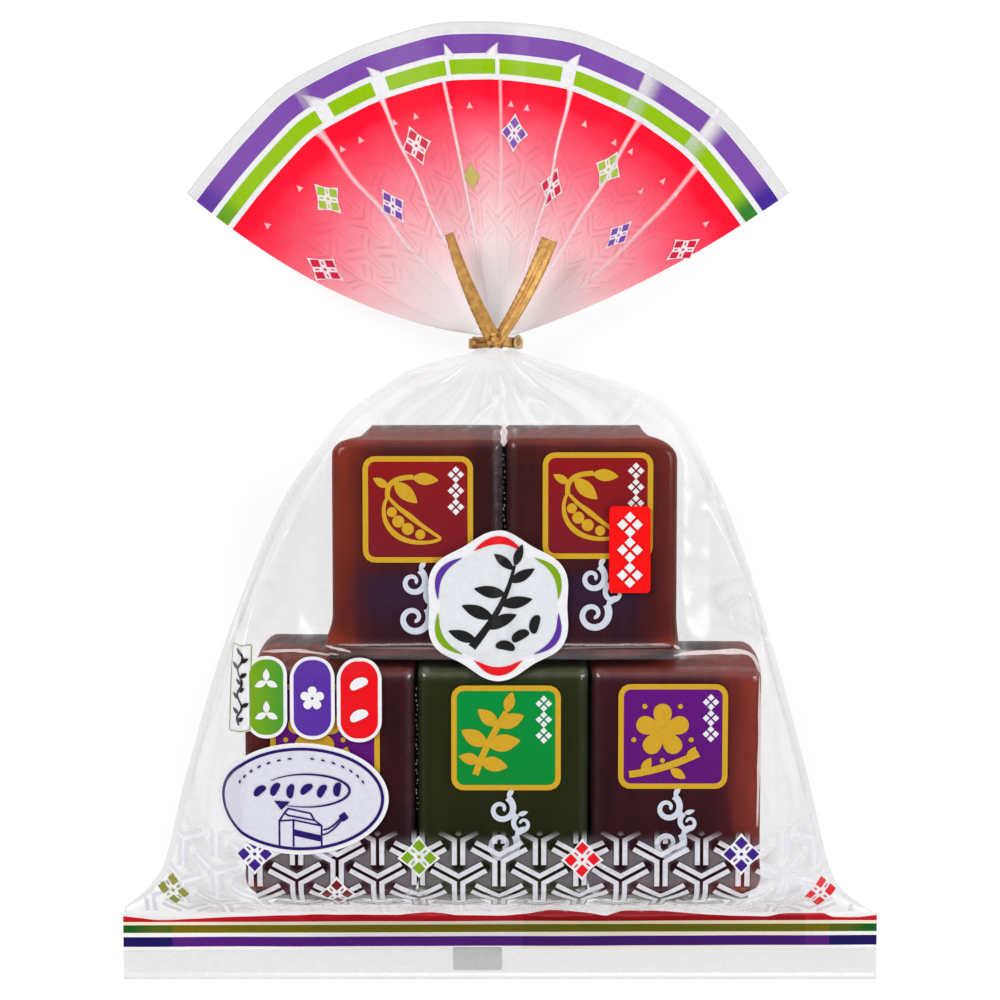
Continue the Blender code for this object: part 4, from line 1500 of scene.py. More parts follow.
# Place, ink and size
DIAMONDS = (
    ((-68.1, -79.1), "olive", 3.8), ((-48.9, -66.75), "navy", 3.5),
    ((-32.6, -75.2), "darkred", 3.2), ((-16.2, -67.6), "green", 3.6),
    ((16.4, -68.0), "red", 3.6), ((48.1, -66.8), "navy", 3.6), ((66.9, -79.8), "red", 3.8),
)


def ink_slot(kind):
    """The slot of an ink: its own, or that of the colour it comes nearest to."""
    near = {"olive": "green", "lime": "green", "darkred": "red", "navy": "purple"}
    return near.get(kind, kind) + "_ink"


def make_diamonds(inks, white):
    """Four-part rhomb ornaments along the lower edge, each but the olive one on a white rhomb."""
    grounds, grids = [], {}
    for at, kind, size in DIAMONDS:
        if kind != "olive":
            rim = pinched(1.02 * size + 0.62, 0.90)
            grounds.append(patch(rim, 12, at, RHOMB_GROUND_LIFT))
        found = grids.setdefault(kind, [])
        found += [on_film(part + at, RHOMB_LIFT) for part in rhomb_parts(size)]
    printed("diamond_grounds", grounds, white)
    for kind, found in grids.items():
        printed("diamonds_" + kind, found, inks[kind], ink_slot(kind))


LABEL_AT = (-0.35, -17.0)
LABEL_RADIUS = 14.3
LABEL_LOBE = 0.66
SICKLES = ("red", "purple", "green", "red", "purple", "green")
SICKLE_RADIUS = LABEL_RADIUS - 1.85
SICKLE_LOBE = 0.60
SICKLE_HALF_ANGLE = 24
# Direction in degrees, point of the stem, length
SPRIG_LEAVES = (
    (160, 3, 6.0), (25, 9, 6.6), (158, 14, 6.8), (12, 20, 6.4), (168, 25, 6.4), (30, 31, 5.6),
    (140, 37, 5.0), (70, 39, 4.6),
)
# Place and direction in degrees
SPRIG_BEANS = (((4.4, -6.0), 30), ((7.4, -3.6), 75), ((1.4, -8.2), -10))


def lobed(radius, lobe, turn):
    """Distance from the middle of a six-lobed line: radius + lobe cos 6(turn - a quarter turn)."""
    return radius + lobe * np.cos(6 * (turn - math.pi / 2))


def label_outline(scale=1.0, inset=0.0):
    """The label's six soft lobes, drawn in by the inset and scaled."""
    return polar(lambda turn: lobed(LABEL_RADIUS - inset, LABEL_LOBE, turn), 180) * scale


def make_round_label(white, pale, inks, black):
    """The lobed label: white, with a coloured sickle in each lobe and a brushed sprig inside."""
    at = np.array(LABEL_AT)
    printed("label_ground", [patch(label_outline(), 26, at, LABEL_LIFT)], white)
    field = patch(label_outline(0.97, 1.9), 24, at, FIELD_LIFT)
    printed("label_field", [field], pale)
    t = np.linspace(-1, 1, 33)
    for k, kind in enumerate(SICKLES):
        turn = math.radians(90 + 60 * k) + t * math.radians(SICKLE_HALF_ANGLE)
        r = lobed(SICKLE_RADIUS, SICKLE_LOBE, turn)
        path = joined(r * np.cos(turn), r * np.sin(turn))
        widest = 1.6 if kind == "red" else 1.3
        sickle = stroke(path, widest * (1 - np.abs(t) ** 1.7) + 0.02) + at
        grids = [on_film(sickle, DRAWING_LIFT)]
        printed(f"label_sickle_{k}", grids, inks[kind], kind + "_ink")
    t = np.linspace(0, 1, 40)
    stem = joined(-5.2 + 8.2 * t + 1.5 * np.sin(3 * t), -8.2 + 16.2 * t)
    grids = [stroke(stem, 0.55 + 1.1 * (1 - t))]
    grids += leaves(0.21, ((way, stem[k], size) for way, k, size in SPRIG_LEAVES))
    grids += [bean_at(spot, way, 1.9, 1.25, 4) for spot, way in SPRIG_BEANS]
    grids = layered([grid + at for grid in grids], on_film, DRAWING_LIFT)
    printed("label_sprig", grids, black)


# Pills: ink, place, half width and half height
PILLS = (
    ("green", (-46.3, -35.2), (4.1, 8.25)),
    ("purple", (-37.2, -35.4), (4.45, 8.25)),
    ("red", (-27.9, -35.8), (4.45, 8.4)),
)
PILL_RIM = 0.75
STRIP_AT = (-51.7, -33.6)
STRIP_HALF = (2.55, 8.8)
STRIP_SHEAR = 0.2
STRIP_TURN = -1.5
PLATE_AT = (25.6, -5.8)
PLATE_HALF = (4.1, 8.6)
PLATE_STEP = 5.0


def pill_marks(kind, at):
    """White motifs on a pill: two sprigs of three leaves, one plum blossom or two beans."""
    marks = []
    for rise in (0.0,) if kind == "purple" else (3.2, -3.2):
        middle = np.array(at) + (0.0, rise)
        if kind == "green":
            marks += [turned(leaf(2.5, 0.75), turn, middle) for turn in (90, 205, -25)]
        elif kind == "purple":
            for k in range(5):
                outline = turned(petal(2.4, 1.05), 90 + 72 * k, middle)
                marks.append(filled(outline, 2, outline[:-1].mean(0)))
        else:
            marks.append(bean_at(middle, 25, 1.9, 1.3, 3))
    return marks


def make_strip(rim_line, black):
    """A slanted narrow strip: a thin line inside its edge and a vine. Gives back its white ground."""
    at, (a, b) = np.array(STRIP_AT), STRIP_HALF
    shear = np.array([[1.0, STRIP_SHEAR], [0.0, 1.0]])
    edge, line = (
        turned(rounded(a - gap, b - gap, 0.3, 90) @ shear, STRIP_TURN, at) for gap in (0, 0.25)
    )
    line = on_film(stroke(line, 0.22, closed=True), FIELD_LIFT)
    printed("strip_line", [line], rim_line, "green_ink")
    t = np.linspace(-1, 1, 60)
    vine = joined(0.55 * np.sin(t * 9.4), t * 7.3)
    vines = [stroke(vine, 0.42)]
    for k in range(10):
        side = 1 - 2 * (k % 2)
        vines.append(turned(leaf(1.7, 0.5), 90 - side * 58, vine[3 + 6 * k]))
    vines = layered([turned(grid, STRIP_TURN, at) for grid in vines], on_film, VINE_LIFT)
    printed("strip_vine", vines, black)
    return on_film(filled(edge, 12, at), STRIP_LIFT)


def make_lozenges(white, inks, rim_line, black):
    """Three upright pills with a white rim, a narrow strip beside them and a red plate."""
    rims, marks = [], []
    for kind, at, (a, b) in PILLS:
        rims.append(patch(rounded(a, b, a * 0.98, 160), 16, at, LABEL_LIFT))
        corner = a * 0.93 - PILL_RIM
        pill = filled(rounded(a - PILL_RIM, b - PILL_RIM, corner, 160), 16)
        grid, deep = on_film(pill + at, FIELD_LIFT), np.clip(0.5 + pill[..., 0] / (2 * a), 0, 1)
        printed("pill_" + kind, [grid], inks[kind], kind + "_ink", deep=[deep])
        marks += pill_marks(kind, at)
    rims.append(make_strip(rim_line, black))
    at = np.array(PLATE_AT)
    plate = patch(rounded(*PLATE_HALF, 0.9, 120), 14, at, LABEL_LIFT)
    printed("red_plate", [plate], inks["bright"], "red_ink")
    for rise in (PLATE_STEP, 0.0, -PLATE_STEP):
        marks += [quad + at + (0.0, rise) for quad in diamond_quads(2.7)]
    printed("label_rims", rims, white)
    printed("label_marks", layered(marks, on_film, MARK_LIFT), white)


OVAL_AT = (-39.5, -55.6)
OVAL_HALF = (17.35, 11.25)
# Opened carton: its front and side, the lid, the flap behind it, the edge between front and side
CARTON = (
    ((-4.4, -9.6), (-4.4, -4.4), (-1.6, -4.2), (4.0, -5.4), (4.0, -9.6)),
    ((-4.4, -4.4), (-3.4, -2.8), (-2.6, -3.3), (2.6, -4.3), (4.0, -5.4)),
    ((-3.4, -2.8), (-2.6, -1.9), (1.8, -2.9), (2.6, -4.3)),
    ((-1.6, -4.2), (-1.6, -9.6)),
)
CARTON_BAND = ((-1.4, -6.1), (3.8, -7.3), (3.8, -8.6), (-1.4, -7.4), (-1.4, -6.1))
LOOP_HEAD = ((-5.4, -0.3), (-2.2, -0.5), (-4.0, -2.2), (-5.4, -0.3))


def oval_drawing():
    """An opened carton with a loose tape, a row of beans in a loop and small beans in an arc."""
    grids = [stroke(polyline(path, 0.5), 0.36) for path in CARTON]
    grids.append(filled(polyline(CARTON_BAND, 0.3), 3, (1.2, -7.3)))
    s = np.linspace(0, 1, 40)
    tape = joined(4.0 + 4.0 * s, -7.2 + 3.0 * s**1.8)
    grids += [stroke(tape, 0.34), stroke(tape + (0.3, 1.0), 0.34)]
    end = tape[-1] + (0.4, 0.6)
    grids.append(filled(turned(rounded(0.75, 0.75, 0.1, 24), 35, end), 2, end))
    turn = np.radians(142 - 258 * s)
    loop = joined(0.9 + 8.7 * np.cos(turn), 1.7 + 3.3 * np.sin(turn))
    grids.append(stroke(loop, 0.16 + 0.34 * np.sin(math.pi * s)))
    head = np.array(LOOP_HEAD)
    grids.append(filled(polyline(head, 0.3), 2, head[:3].mean(0)))
    for k in range(6):
        spot = np.array([-8.2 + 3.1 * k, 1.6 + 0.35 * (k % 2)])
        grids.append(bean_at(spot, 40 + 20 * (k % 3), 1.45, 0.95, 3))
    for k in (*range(7), *range(8, 15)):
        turn = math.radians(158 - 9.7 * k)
        spot = np.array([13.2 * math.cos(turn), 0.6 + 7.6 * math.sin(turn)])
        grids.append(bean_at(spot, math.degrees(turn) - 90, 0.42, 0.24, 1))
    return grids


def make_oval(white, pale, line):
    """The oval label: white rim, pale field, a purple ring and a drawing inside it."""
    at, half = np.array(OVAL_AT), np.array(OVAL_HALF)
    t = np.linspace(0, 2 * math.pi, 145)
    circle = joined(np.cos(t), np.sin(t))
    printed("oval_rim", [patch(circle * half, 20, at, LABEL_LIFT)], white)
    field = patch(circle * (half - 0.9), 20, at, FIELD_LIFT)
    printed("oval_field", [field], pale)
    grids = [stroke(circle * (half - 1.2), 0.62, closed=True), *oval_drawing()]
    grids = layered([grid + at for grid in grids], on_film, DRAWING_LIFT)
    printed("oval_drawing", grids, line, "purple_ink")


# Hem

# Coloured stripes: colour, name, lower and upper edge
HEM_STRIPES = (
    ("red", "hem_red", -88.1, -86.95), ("green", "hem_olive", -90.45, -88.8),
    ("purple", "hem_purple", -93.45, -91.35),
)
# White stripes: lower and upper edge, share of cream
HEM_WHITES = ((-88.8, -88.1, 0.65), (-91.35, -90.45, 0.15), (-94.1, -93.45, 0.15))
HEM_TILT = 0.0029
# The film is doubled outside the first pair of places on X, and darker between the second pair
HEM_DOUBLED = (-WIDTH / 2 + 10.4, 69.92)
HEM_OVERLAY = (4.92, 64.82)
# Height of the red stripe's torn upper edge against X
RED_TOP = (
    (-80.0, 1.3), (-77.0, 1.0), (-72.5, 0.45), (-57.0, 1.05), (-38.0, 1.5), (-22.0, 1.4),
    (-14.8, 2.3), (-9.0, 1.3), (0.0, 1.2), (5.0, 1.5), (10.6, 3.2), (18.0, 2.1), (22.5, 1.2),
    (26.6, 3.0), (32.0, 2.8), (38.0, 2.1), (44.0, 1.3), (56.0, 0.9), (61.0, 1.6), (68.0, 1.6),
    (71.0, 0.65), (76.0, 0.7), (80.0, 1.1),
)


def make_hem(inks, white, clear):
    """Stripes across the sealed hem, darker where the film is doubled, and a clear tab."""
    changes = np.add.outer((*HEM_DOUBLED, *HEM_OVERLAY), (-0.02, 0.02)).ravel()
    x = np.unique(np.concatenate([np.linspace(-WIDTH / 2, WIDTH / 2, 321), changes]))
    tilt = HEM_TILT * (x + WIDTH / 2)
    doubled = ((x < HEM_DOUBLED[0]) | (x > HEM_DOUBLED[1])) * 1.0
    overlay = 0.42 * ((x > HEM_OVERLAY[0]) & (x < HEM_OVERLAY[1]))
    v = np.linspace(0, 1, 6)[:, None]
    for number, (kind, name, low, high) in enumerate(HEM_STRIPES):
        top = np.full_like(x, high)
        tone = np.repeat(np.maximum(doubled, overlay)[None], 6, 0)
        if kind == "red":
            top = low + np.maximum(along(RED_TOP, x), 0.3) + 0.06 * crinkle(x, 0 * x, 9, 31)
            tone = overlay * 0.9 + 0.55 * (1 - v) + 0.35 * ramp(v, 0.9, 1)
        if kind == "green":
            tone = tone * (0.55 + 0.45 * ramp(np.abs(x), 73, 78.5))
        y = low + (top - low) * v + 0.05 * crinkle(x, 0 * x, 40, 33 + number) + tilt
        front = np.where(y > HEM_TOP_Y, film_front(np.broadcast_to(x, y.shape), y), 0)
        grid = joined(x, y, np.maximum(HEM_THICKNESS, front) + 0.13)
        printed(name, [grid], inks[name], kind + "_ink", deep=[tone])
    lines, shaded = [], []
    for low, high, cream in HEM_WHITES:
        y = np.array([low, high])[:, None] + tilt
        lines.append(at_height(joined(x, y), HEM_THICKNESS + 0.11))
        shaded.append(np.repeat((cream + 0.35 * (overlay > 0))[None], 2, 0))
    printed("hem_white", lines, white, deep=shaded)
    tab = filled(rounded(5.2, 2.5, 0.3, 60), 4) + (-4.8, -96.0)
    printed("hem_tab", [at_height(tab, HEM_THICKNESS + 0.12)], clear, "silver_ink")


# Fan prints

# Heights of the prints above the fan, from the lowest up
BLUSH_LIFT, WHITE_LIFT, TRACE_LIFT, BAND_LIFT, FAN_GROUND_LIFT = 0.12, 0.16, 0.20, 0.22, 0.24
GLINT_LIFT, TRIANGLE_LIFT, TONGUE_LIFT, FAN_RHOMB_LIFT, CREASE_LIFT = 0.25, 0.26, 0.27, 0.30, 0.34

# Distances from the rim
RIM_CLEAR = 2.65
PURPLE_END = 6.6
GREEN_START = 7.8
GREEN_END = 10.8
PINK_START = 12.0
BLUSH_LENGTH = 54.0
# Places where a crease swallows the green band: angle and width
GREEN_GAPS = ((-31.9, 2.8), (-20.6, 3.0), (-7.7, 0.9), (1.4, 0.9), (14.6, 2.8))
# Painted highlights along the fan's folds
CREASES = (
    # angle at the band and at its end, distance of its end, width, share of white, flare
    (-34.8, -31.5, 60.0, 1.25, 0.80, 0.9),
    (-21.4, -19.6, 62.0, 0.95, 1.0, 0.55),
    (-8.9, -7.6, 60.0, 0.95, 0.95, 0.0),
    (1.9, 2.6, 60.0, 0.90, 0.60, 0.0),
    (15.4, 16.8, 62.0, 0.95, 1.0, 0.6),
    (30.2, 27.6, 60.0, 1.15, 0.85, 0.5),
    (44.6, 47.0, 56.0, 1.35, 0.65, 0.3),
)
TONGUES = (
    # angle of the tip, distance of the tip, angle of the foot, width of the foot, white at the tip
    (-34.2, 3.4, -32.0, 3.8, 0.25), (-21.9, 4.5, -20.4, 3.0, 0.7), (-7.8, 4.2, -7.1, 2.2, 0.9),
    (1.8, 4.2, 0.3, 3.2, 0.8), (16.2, 4.2, 14.8, 3.0, 0.9),
)
GLINTS = (
    # angle of the sharp edge, width in degrees, first and last distance, strength
    (27.6, 4.2, 2.65, 6.6, 0.75), (26.8, 4.2, 7.8, 10.8, 0.34), (40.9, 4.2, 2.65, 6.6, 0.85),
    (40.1, 4.2, 7.8, 10.8, 0.42), (40.8, 1.2, 0.3, 2.6, 0.7), (-34.6, 2.8, 2.65, 6.6, 0.25),
)


def fan_band(start, end, lift, low=-FAN_HALF_ANGLE, high=FAN_HALF_ANGLE, steps=4):
    """A strip of the fan between two distances from the rim."""
    count = max(4, int((high - low) * 2.6))
    angle = np.linspace(low, high, count)[:, None]
    distance = np.linspace(start, end, steps + 1)[None]
    angle, distance = np.broadcast_arrays(angle, distance)
    return fan_place(angle, from_rim(angle, distance), lift), angle


def banded(start, end, lift, gaps):
    """The strip cut where a crease swallows it."""
    grids, angles = [], []
    low = -FAN_HALF_ANGLE
    for middle, gap in (*gaps, (FAN_HALF_ANGLE, 0.0)):
        half = math.degrees(gap / 2 / (FAN_RADIUS - (start + end) / 2))
        grid, angle = fan_band(start, end, lift, low, middle - half)
        grids.append(grid)
        angles.append(angle)
        low = middle + half
    return grids, angles


def on_fan(points, middle, distance, lift):
    """Small plan points laid on the fan round a place given by angle and distance from the rim."""
    angle = middle + points[..., 0] / FAN_MM_PER_DEGREE
    return fan_place(angle, from_rim(angle, distance - points[..., 1]), lift)


FAN_MM_PER_DEGREE = 1.22
# Ink, angle, distance from the rim, size
FAN_DIAMONDS = (
    ("red", -17.9, 23.2, 3.9), ("purple", -29.9, 32.6, 3.8), ("olive", -6.1, 31.8, 3.0),
    ("lime", -41.6, 23.2, 3.7), ("red", -55.2, 32.2, 4.1), ("purple", 5.1, 22.6, 3.6),
    ("red", 16.9, 32.0, 3.9), ("lime", 29.0, 23.6, 3.7), ("purple", 41.7, 33.2, 3.6),
    ("red", 56.8, 24.6, 3.7),
)
# Angle and distance from the rim
SMALL_TRIANGLES = (
    (-16.0, 17.4), (-8.6, 17.1), (-4.5, 17.3), (-20.6, 17.3), (-32.7, 17.3), (-28.5, 17.5),
    (-44.5, 17.4), (-54.5, 17.2), (4.1, 16.8), (7.5, 17.2), (20.1, 17.3), (27.5, 18.1),
    (31.6, 18.0), (41.1, 18.9), (38.6, 23.4), (45.2, 18.7), (54.7, 17.6),
)


def make_fan_rhombs(inks, white):
    """Rhombs on the fan, each but the plain olive one on a white rhomb."""
    grounds, grids = [], {}
    for kind, middle, distance, size in FAN_DIAMONDS:
        rim = pinched(size + 0.40, 0.87)
        found = grids.setdefault(kind, [])
        if kind == "olive":
            found.append(on_fan(filled(rim * 0.85, 6), middle, distance, FAN_RHOMB_LIFT))
            continue
        grounds.append(on_fan(filled(rim, 8), middle, distance, FAN_GROUND_LIFT))
        for part in rhomb_parts(size * 0.92):
            found.append(on_fan(part, middle, distance, FAN_RHOMB_LIFT))
    printed("fan_diamond_grounds", grounds, white)
    for kind, found in grids.items():
        printed("fan_diamonds_" + kind, found, inks["fan_" + kind], ink_slot(kind))


def make_fan_triangles(pale):
    """Small triangles between the rhombs and the bands, softer towards their middles."""
    corner = filled(polyline([(0, 0.95), (-0.95, -0.65), (0.95, -0.65), (0, 0.95)], 0.4), 3)
    marks = [on_fan(corner, *place, TRIANGLE_LIFT) for place in SMALL_TRIANGLES]
    soft = np.array([0.0, 0.75, 1.0, 1.0])[:, None]
    fades = [np.repeat(soft, mark.shape[1], 1) for mark in marks]
    printed("fan_triangles", marks, pale, "red_ink", fade=fades)


def make_fan_traces(trace):
    """Faint bent lines of the tiles over the middle of the fan."""
    lines, fades = [], []
    strokes = tile_strokes(0.9)
    for column in range(-8, 9):
        for row in range(4):
            middle = column * TILE_PITCH[0] / 2 / FAN_MM_PER_DEGREE + 1.5
            distance = 23.5 + row * TILE_PITCH[1] + (column % 2) * TILE_PITCH[1] / 2
            if abs(middle) > FAN_HALF_ANGLE - 5.5:
                continue
            for path in strokes:
                grid = stroke(path, 0.60)
                across, reach = grid[..., 0] + middle, distance - grid[..., 1]
                bend = 0.6 * crinkle(across, -reach, 9, 77)[..., None]
                lines.append(on_fan(grid + bend, middle, distance, TRACE_LIFT))
                cloud = 0.55 + 0.45 * crinkle(across, reach, 8, 29)
                fades.append(window(reach, 23, 42, 7) * cloud)
    printed("fan_traces", lines, trace, "red_ink", fade=fades)


def make_fan_blush(pink):
    """The fan's colour from the lower band to the neck, with how far each point has faded."""
    angle = np.linspace(-FAN_HALF_ANGLE, FAN_HALF_ANGLE, 241)[:, None]
    share = np.linspace(0, 1, 71)[None]
    start = from_rim(angle, PINK_START)
    v = start + (0.03 - start) * share
    angle = np.broadcast_to(angle, v.shape)
    rim = fan_place(angle, np.ones_like(v))[..., :2]
    distance = np.linalg.norm(rim - fan_place(angle, v)[..., :2], axis=-1)
    reach = (distance - PINK_START) / BLUSH_LENGTH
    pale = 0.10 * bump(angle, 3.5, 9) + 0.05 * bump(angle, -3, 5)
    pale = pale - 0.05 * ramp(np.abs(angle), 40, 56)
    reach = np.clip(reach + pale * ramp(reach, 0.05, 0.3), 0, 1)
    printed("fan_blush", [fan_place(angle, v, BLUSH_LIFT)], pink, "red_ink", reach=[reach])


def make_fan_bands(inks, white):
    """The purple and the green band, darker at the fan's ends, on and between white."""
    band, _ = fan_band(PURPLE_END, PINK_START, WHITE_LIFT)
    border, _ = fan_band(RIM_CLEAR - 0.28, RIM_CLEAR + 0.2, WHITE_LIFT, steps=1)
    printed("fan_white", [band, border], white)
    for kind, start, end, gaps in (
        ("purple", RIM_CLEAR, PURPLE_END, ()), ("green", GREEN_START, GREEN_END, GREEN_GAPS),
    ):
        grids, angles = banded(start, end, BAND_LIFT, gaps)
        deep = [ramp(a, 53.5, 57.5) + 0.6 * (1 - ramp(a, -58, -54)) for a in angles]
        printed("fan_" + kind, grids, inks["fan_" + kind], kind + "_ink", deep=deep)


# Places across a crease or tongue, from its left edge to its right
CREASE_SIDES = np.array([-1.0, -0.45, 0.0, 0.45, 1.0])[None]


def fan_glints():
    """Grids and shares of white of the glints: sharp at one edge, fading to the other."""
    for edge, width, start, end, strength in GLINTS:
        grid, angle = fan_band(start, end, GLINT_LIFT, edge - 0.25, edge + width, 2)
        fading = 1 - ramp(angle, edge + 0.2 * width, edge + width)
        yield grid, strength * ramp(angle, edge - 0.25, edge) * fading


def fan_creases():
    """Grids and shares of white of the creases of painted highlight that run from the bands towards
    the neck.
    """
    share = np.linspace(0, 1, 60)
    top = PINK_START - 0.5
    for first, last, reach, width, strength, flare in CREASES:
        distance = top + (reach - PINK_START + 0.5) * share
        wide = flare * np.exp(-(distance - PINK_START + 0.5) / 1.3)
        half = (width * (1 - 0.2 * share) / 2 + wide)[:, None]
        radius = np.maximum(FAN_RADIUS - distance, 12.0)[:, None]
        sway = 0.35 * np.sin(distance * 0.35 + first)[:, None]
        angle = (first + (last - first) * share)[:, None]
        angle = angle + np.degrees((CREASE_SIDES * half + sway * flare) / radius)
        grid = fan_place(angle, from_rim(angle, distance[:, None]), CREASE_LIFT)
        blobs = 0.90 + 0.10 * crinkle(distance, 0 * distance + first, 5, 71)
        lengthwise = blobs * (1 - 0.45 * share) * (1 - ramp(share, 0.75, 1))
        yield grid, strength * (1 - np.abs(CREASE_SIDES)) ** 0.7 * lengthwise[:, None]


def fan_tongues():
    """Grids and shares of white of the tongues that taper from the white into the purple band."""
    s = np.linspace(0, 1, 12)[:, None]
    for tip, distance, foot, width, pale in TONGUES:
        reach = distance + (PURPLE_END + 0.3 - distance) * s
        half = np.degrees(width / 2 * s / FAN_RADIUS)
        angle = tip + (foot - tip) * s**0.7 + half * CREASE_SIDES
        grid = fan_place(angle, from_rim(angle, np.repeat(reach, 5, 1)), TONGUE_LIFT)
        sides = 1 - 0.5 * np.abs(CREASE_SIDES) ** 3
        yield grid, (pale + (1 - pale) * s) * sides * ramp(s, -0.05, 0.15)


def make_fan_creases(faint):
    """White glints and creases of painted highlight along the fan's folds, and white tongues into the
    purple band.
    """
    grids, fades = zip(*fan_glints(), *fan_creases(), *fan_tongues())
    printed("fan_creases", grids, faint, fade=fades)


# Twist tie

TIE_CLEARANCE = 0.4
STRAP_WIDTH = 2.0
STRAP_THICKNESS = 0.8
RIBBON_WIDTH = 3.4
RIBBON_THICKNESS = 0.5
WIRE_DIAMETER = 0.9
KNOT_HALF_SIZE = (2.2, 1.7, 1.3)
KNOT_FORWARD = 0.4
KNOT_SUNK = 0.25
# Spread ends of the tie: bend, tip, and turn in degrees at the foot and at the tip
TIE_ENDS = (
    ((-6.8, 45.5), (-10.2, 56.6, 16.2), (20.0, 62.0)),
    ((5.6, 44.0), (9.9, 55.4, 16.6), (50.0, 8.0)),
)
# Wire ends that stick out at the knot's left: rise of each
WIRE_RISES = (0.55, -0.55)
LOOP_AT = (NECK_X + 4.6, NECK_Y + 0.2)
LOOP_HALF = (0.75, 1.15)
LOOP_BELOW_KNOT = 1.9


def tube(path, across, up, outline):
    """A profile carried along a path: each ring is the path's point plus the outline on two axes."""
    return path[:, None] + outline[None, :, :1] * across[:, None] + outline[None, :, 1:] * up[:, None]


def bent(start, middle, end, count):
    """Quadratic curve: s (1-v)^2 + 2 m v (1-v) + e v^2."""
    v = np.linspace(0, 1, count)[:, None]
    start, middle, end = (np.array(place, float) for place in (start, middle, end))
    return start * (1 - v) ** 2 + middle * 2 * v * (1 - v) + end * v**2


def ribbon(path, outline, turns, taper=None):
    """A profile carried along a path, turned about it, closed at both ends."""
    tangent = np.gradient(path, axis=0)
    tangent = tangent / np.linalg.norm(tangent, axis=1, keepdims=True)
    level = np.cross(tangent, (0.0, 0.0, 1.0))
    level = level / np.linalg.norm(level, axis=1, keepdims=True)
    upright = np.cross(level, tangent)
    turn = np.radians(turns)[:, None]
    across = level * np.cos(turn) + upright * np.sin(turn)
    up = upright * np.cos(turn) - level * np.sin(turn)
    scale = np.ones(len(path)) if taper is None else taper
    grid = tube(path, across * scale[:, None], up * scale[:, None], outline)
    ends = [np.repeat(grid[k].mean(0)[None], grid.shape[1], 0)[None] for k in (0, -1)]
    return np.concatenate([ends[0], grid, ends[1]])


def tie_strap():
    """The strap round the neck, an ellipse that waves a little, and the painted shade of its creases.
    """
    wide = NECK_HALF_WIDTH + TIE_CLEARANCE + STRAP_THICKNESS / 2
    tall = NECK_HALF_HEIGHT + TIE_CLEARANCE + STRAP_THICKNESS / 2
    turn = np.linspace(0, 2 * math.pi, 97)
    wave = NECK_Y + 0.22 * np.sin(2 * turn + 1)
    path = joined(NECK_X + wide * np.sin(turn), wave, NECK_Z + tall * np.cos(turn))
    radial = joined(np.sin(turn), 0 * turn, np.cos(turn))
    forward = np.repeat([[0.0, 1.0, 0.0]], len(turn), 0)
    flat = rounded(STRAP_WIDTH / 2, STRAP_THICKNESS / 2, 0.2, 40)
    # Painted shade in the strap's creases
    creases = np.abs(np.sin(7 * turn))[:, None] * np.ones(len(flat)) * 0.5
    return tube(path, forward, radial, flat), creases


def tie_ends(foot, knot_z):
    """The two spread ends of foil, beaded along one edge and pale along the other."""
    outline = foil_outline()
    for bend, tip, turns in TIE_ENDS:
        grid = ribbon(bent(foot, (*bend, knot_z), tip, 60), outline, np.linspace(*turns, 60))
        span = outline[None, :, 0] / (RIBBON_WIDTH / 2)
        run = np.arange(len(grid))[:, None]
        beads = 0.5 + 0.5 * np.sin(run * 1.9)
        yield grid, ramp(-span, 0.55, 0.95) * beads + 0.25 * ramp(span, 0.7, 1)


def tie_coils(knot):
    """Two strands of foil twisted round each other as the knot, with bands of painted shade along
    them.
    """
    s = np.linspace(0, 1, 90)
    for phase in (0.0, 180.0):
        swirl = np.radians(phase + 500 * s)
        along_knot = 1.9 * (s - 0.45) * 1.4
        coil = knot + joined(1.15 * np.cos(swirl), along_knot, 0.75 * np.sin(swirl))
        grid = ribbon(coil, rounded(0.62, 0.4, 0.3, 24), 0 * s, 0.6 + 0.4 * np.sin(math.pi * s))
        bands = 0.9 * ramp(np.sin(np.arange(len(grid)) * 0.35), 0, 1)
        yield grid, np.repeat(bands[:, None], grid.shape[1], 1)


def tie_wires(knot_z):
    """Two short ends of wire at the knot's left, paler towards their tips."""
    for rise in WIRE_RISES:
        start = (NECK_X - 0.8, NECK_Y + 0.1 + rise * 0.5, knot_z - 0.6)
        middle = (NECK_X - 3.0, NECK_Y + rise * 1.2, knot_z - 0.3)
        end = (NECK_X - 4.6, NECK_Y + 0.1 + rise * 1.5, knot_z - 1.2)
        grid = ribbon(bent(start, middle, end, 24), rounded(0.42, 0.22, 0.15, 20), np.full(24, 12.0))
        yield grid, np.repeat(np.linspace(0.0, 0.8, len(grid))[:, None], grid.shape[1], 1)


def make_tie(foil, paper):
    """The gold foil twist tie: a strap round the neck, a twisted knot and two spread ends."""
    tall = NECK_HALF_HEIGHT + TIE_CLEARANCE + STRAP_THICKNESS / 2
    knot_z = NECK_Z + tall + KNOT_HALF_SIZE[2] * (1 - KNOT_SUNK)
    knot = np.array([NECK_X, NECK_Y + KNOT_FORWARD, knot_z])
    foot = knot + (0.0, -0.4, 0.1)
    parts = [tie_strap(), *tie_ends(foot, knot_z), *tie_coils(knot), *tie_wires(knot_z)]
    grids, edges = zip(*parts)
    values = {"edge": edges}
    piece("tie_foil", grids, foil, "foil_tie", replaces="twist_tie", values=values)
    turn = np.linspace(0, 2 * math.pi, 49)
    out = joined(np.cos(turn), np.sin(turn), 0 * turn)
    ring = (*LOOP_AT, knot_z - LOOP_BELOW_KNOT) + out * (*LOOP_HALF, 0.0)
    upward = np.repeat([[0.0, 0.0, 1.0]], 49, 0)
    loop = tube(ring, out, upward, rounded(0.3, 0.5, 0.25, 20))
    piece("tie_loop", [loop], paper, "foil_tie", values={"edge": [np.zeros(loop.shape[:2])]})


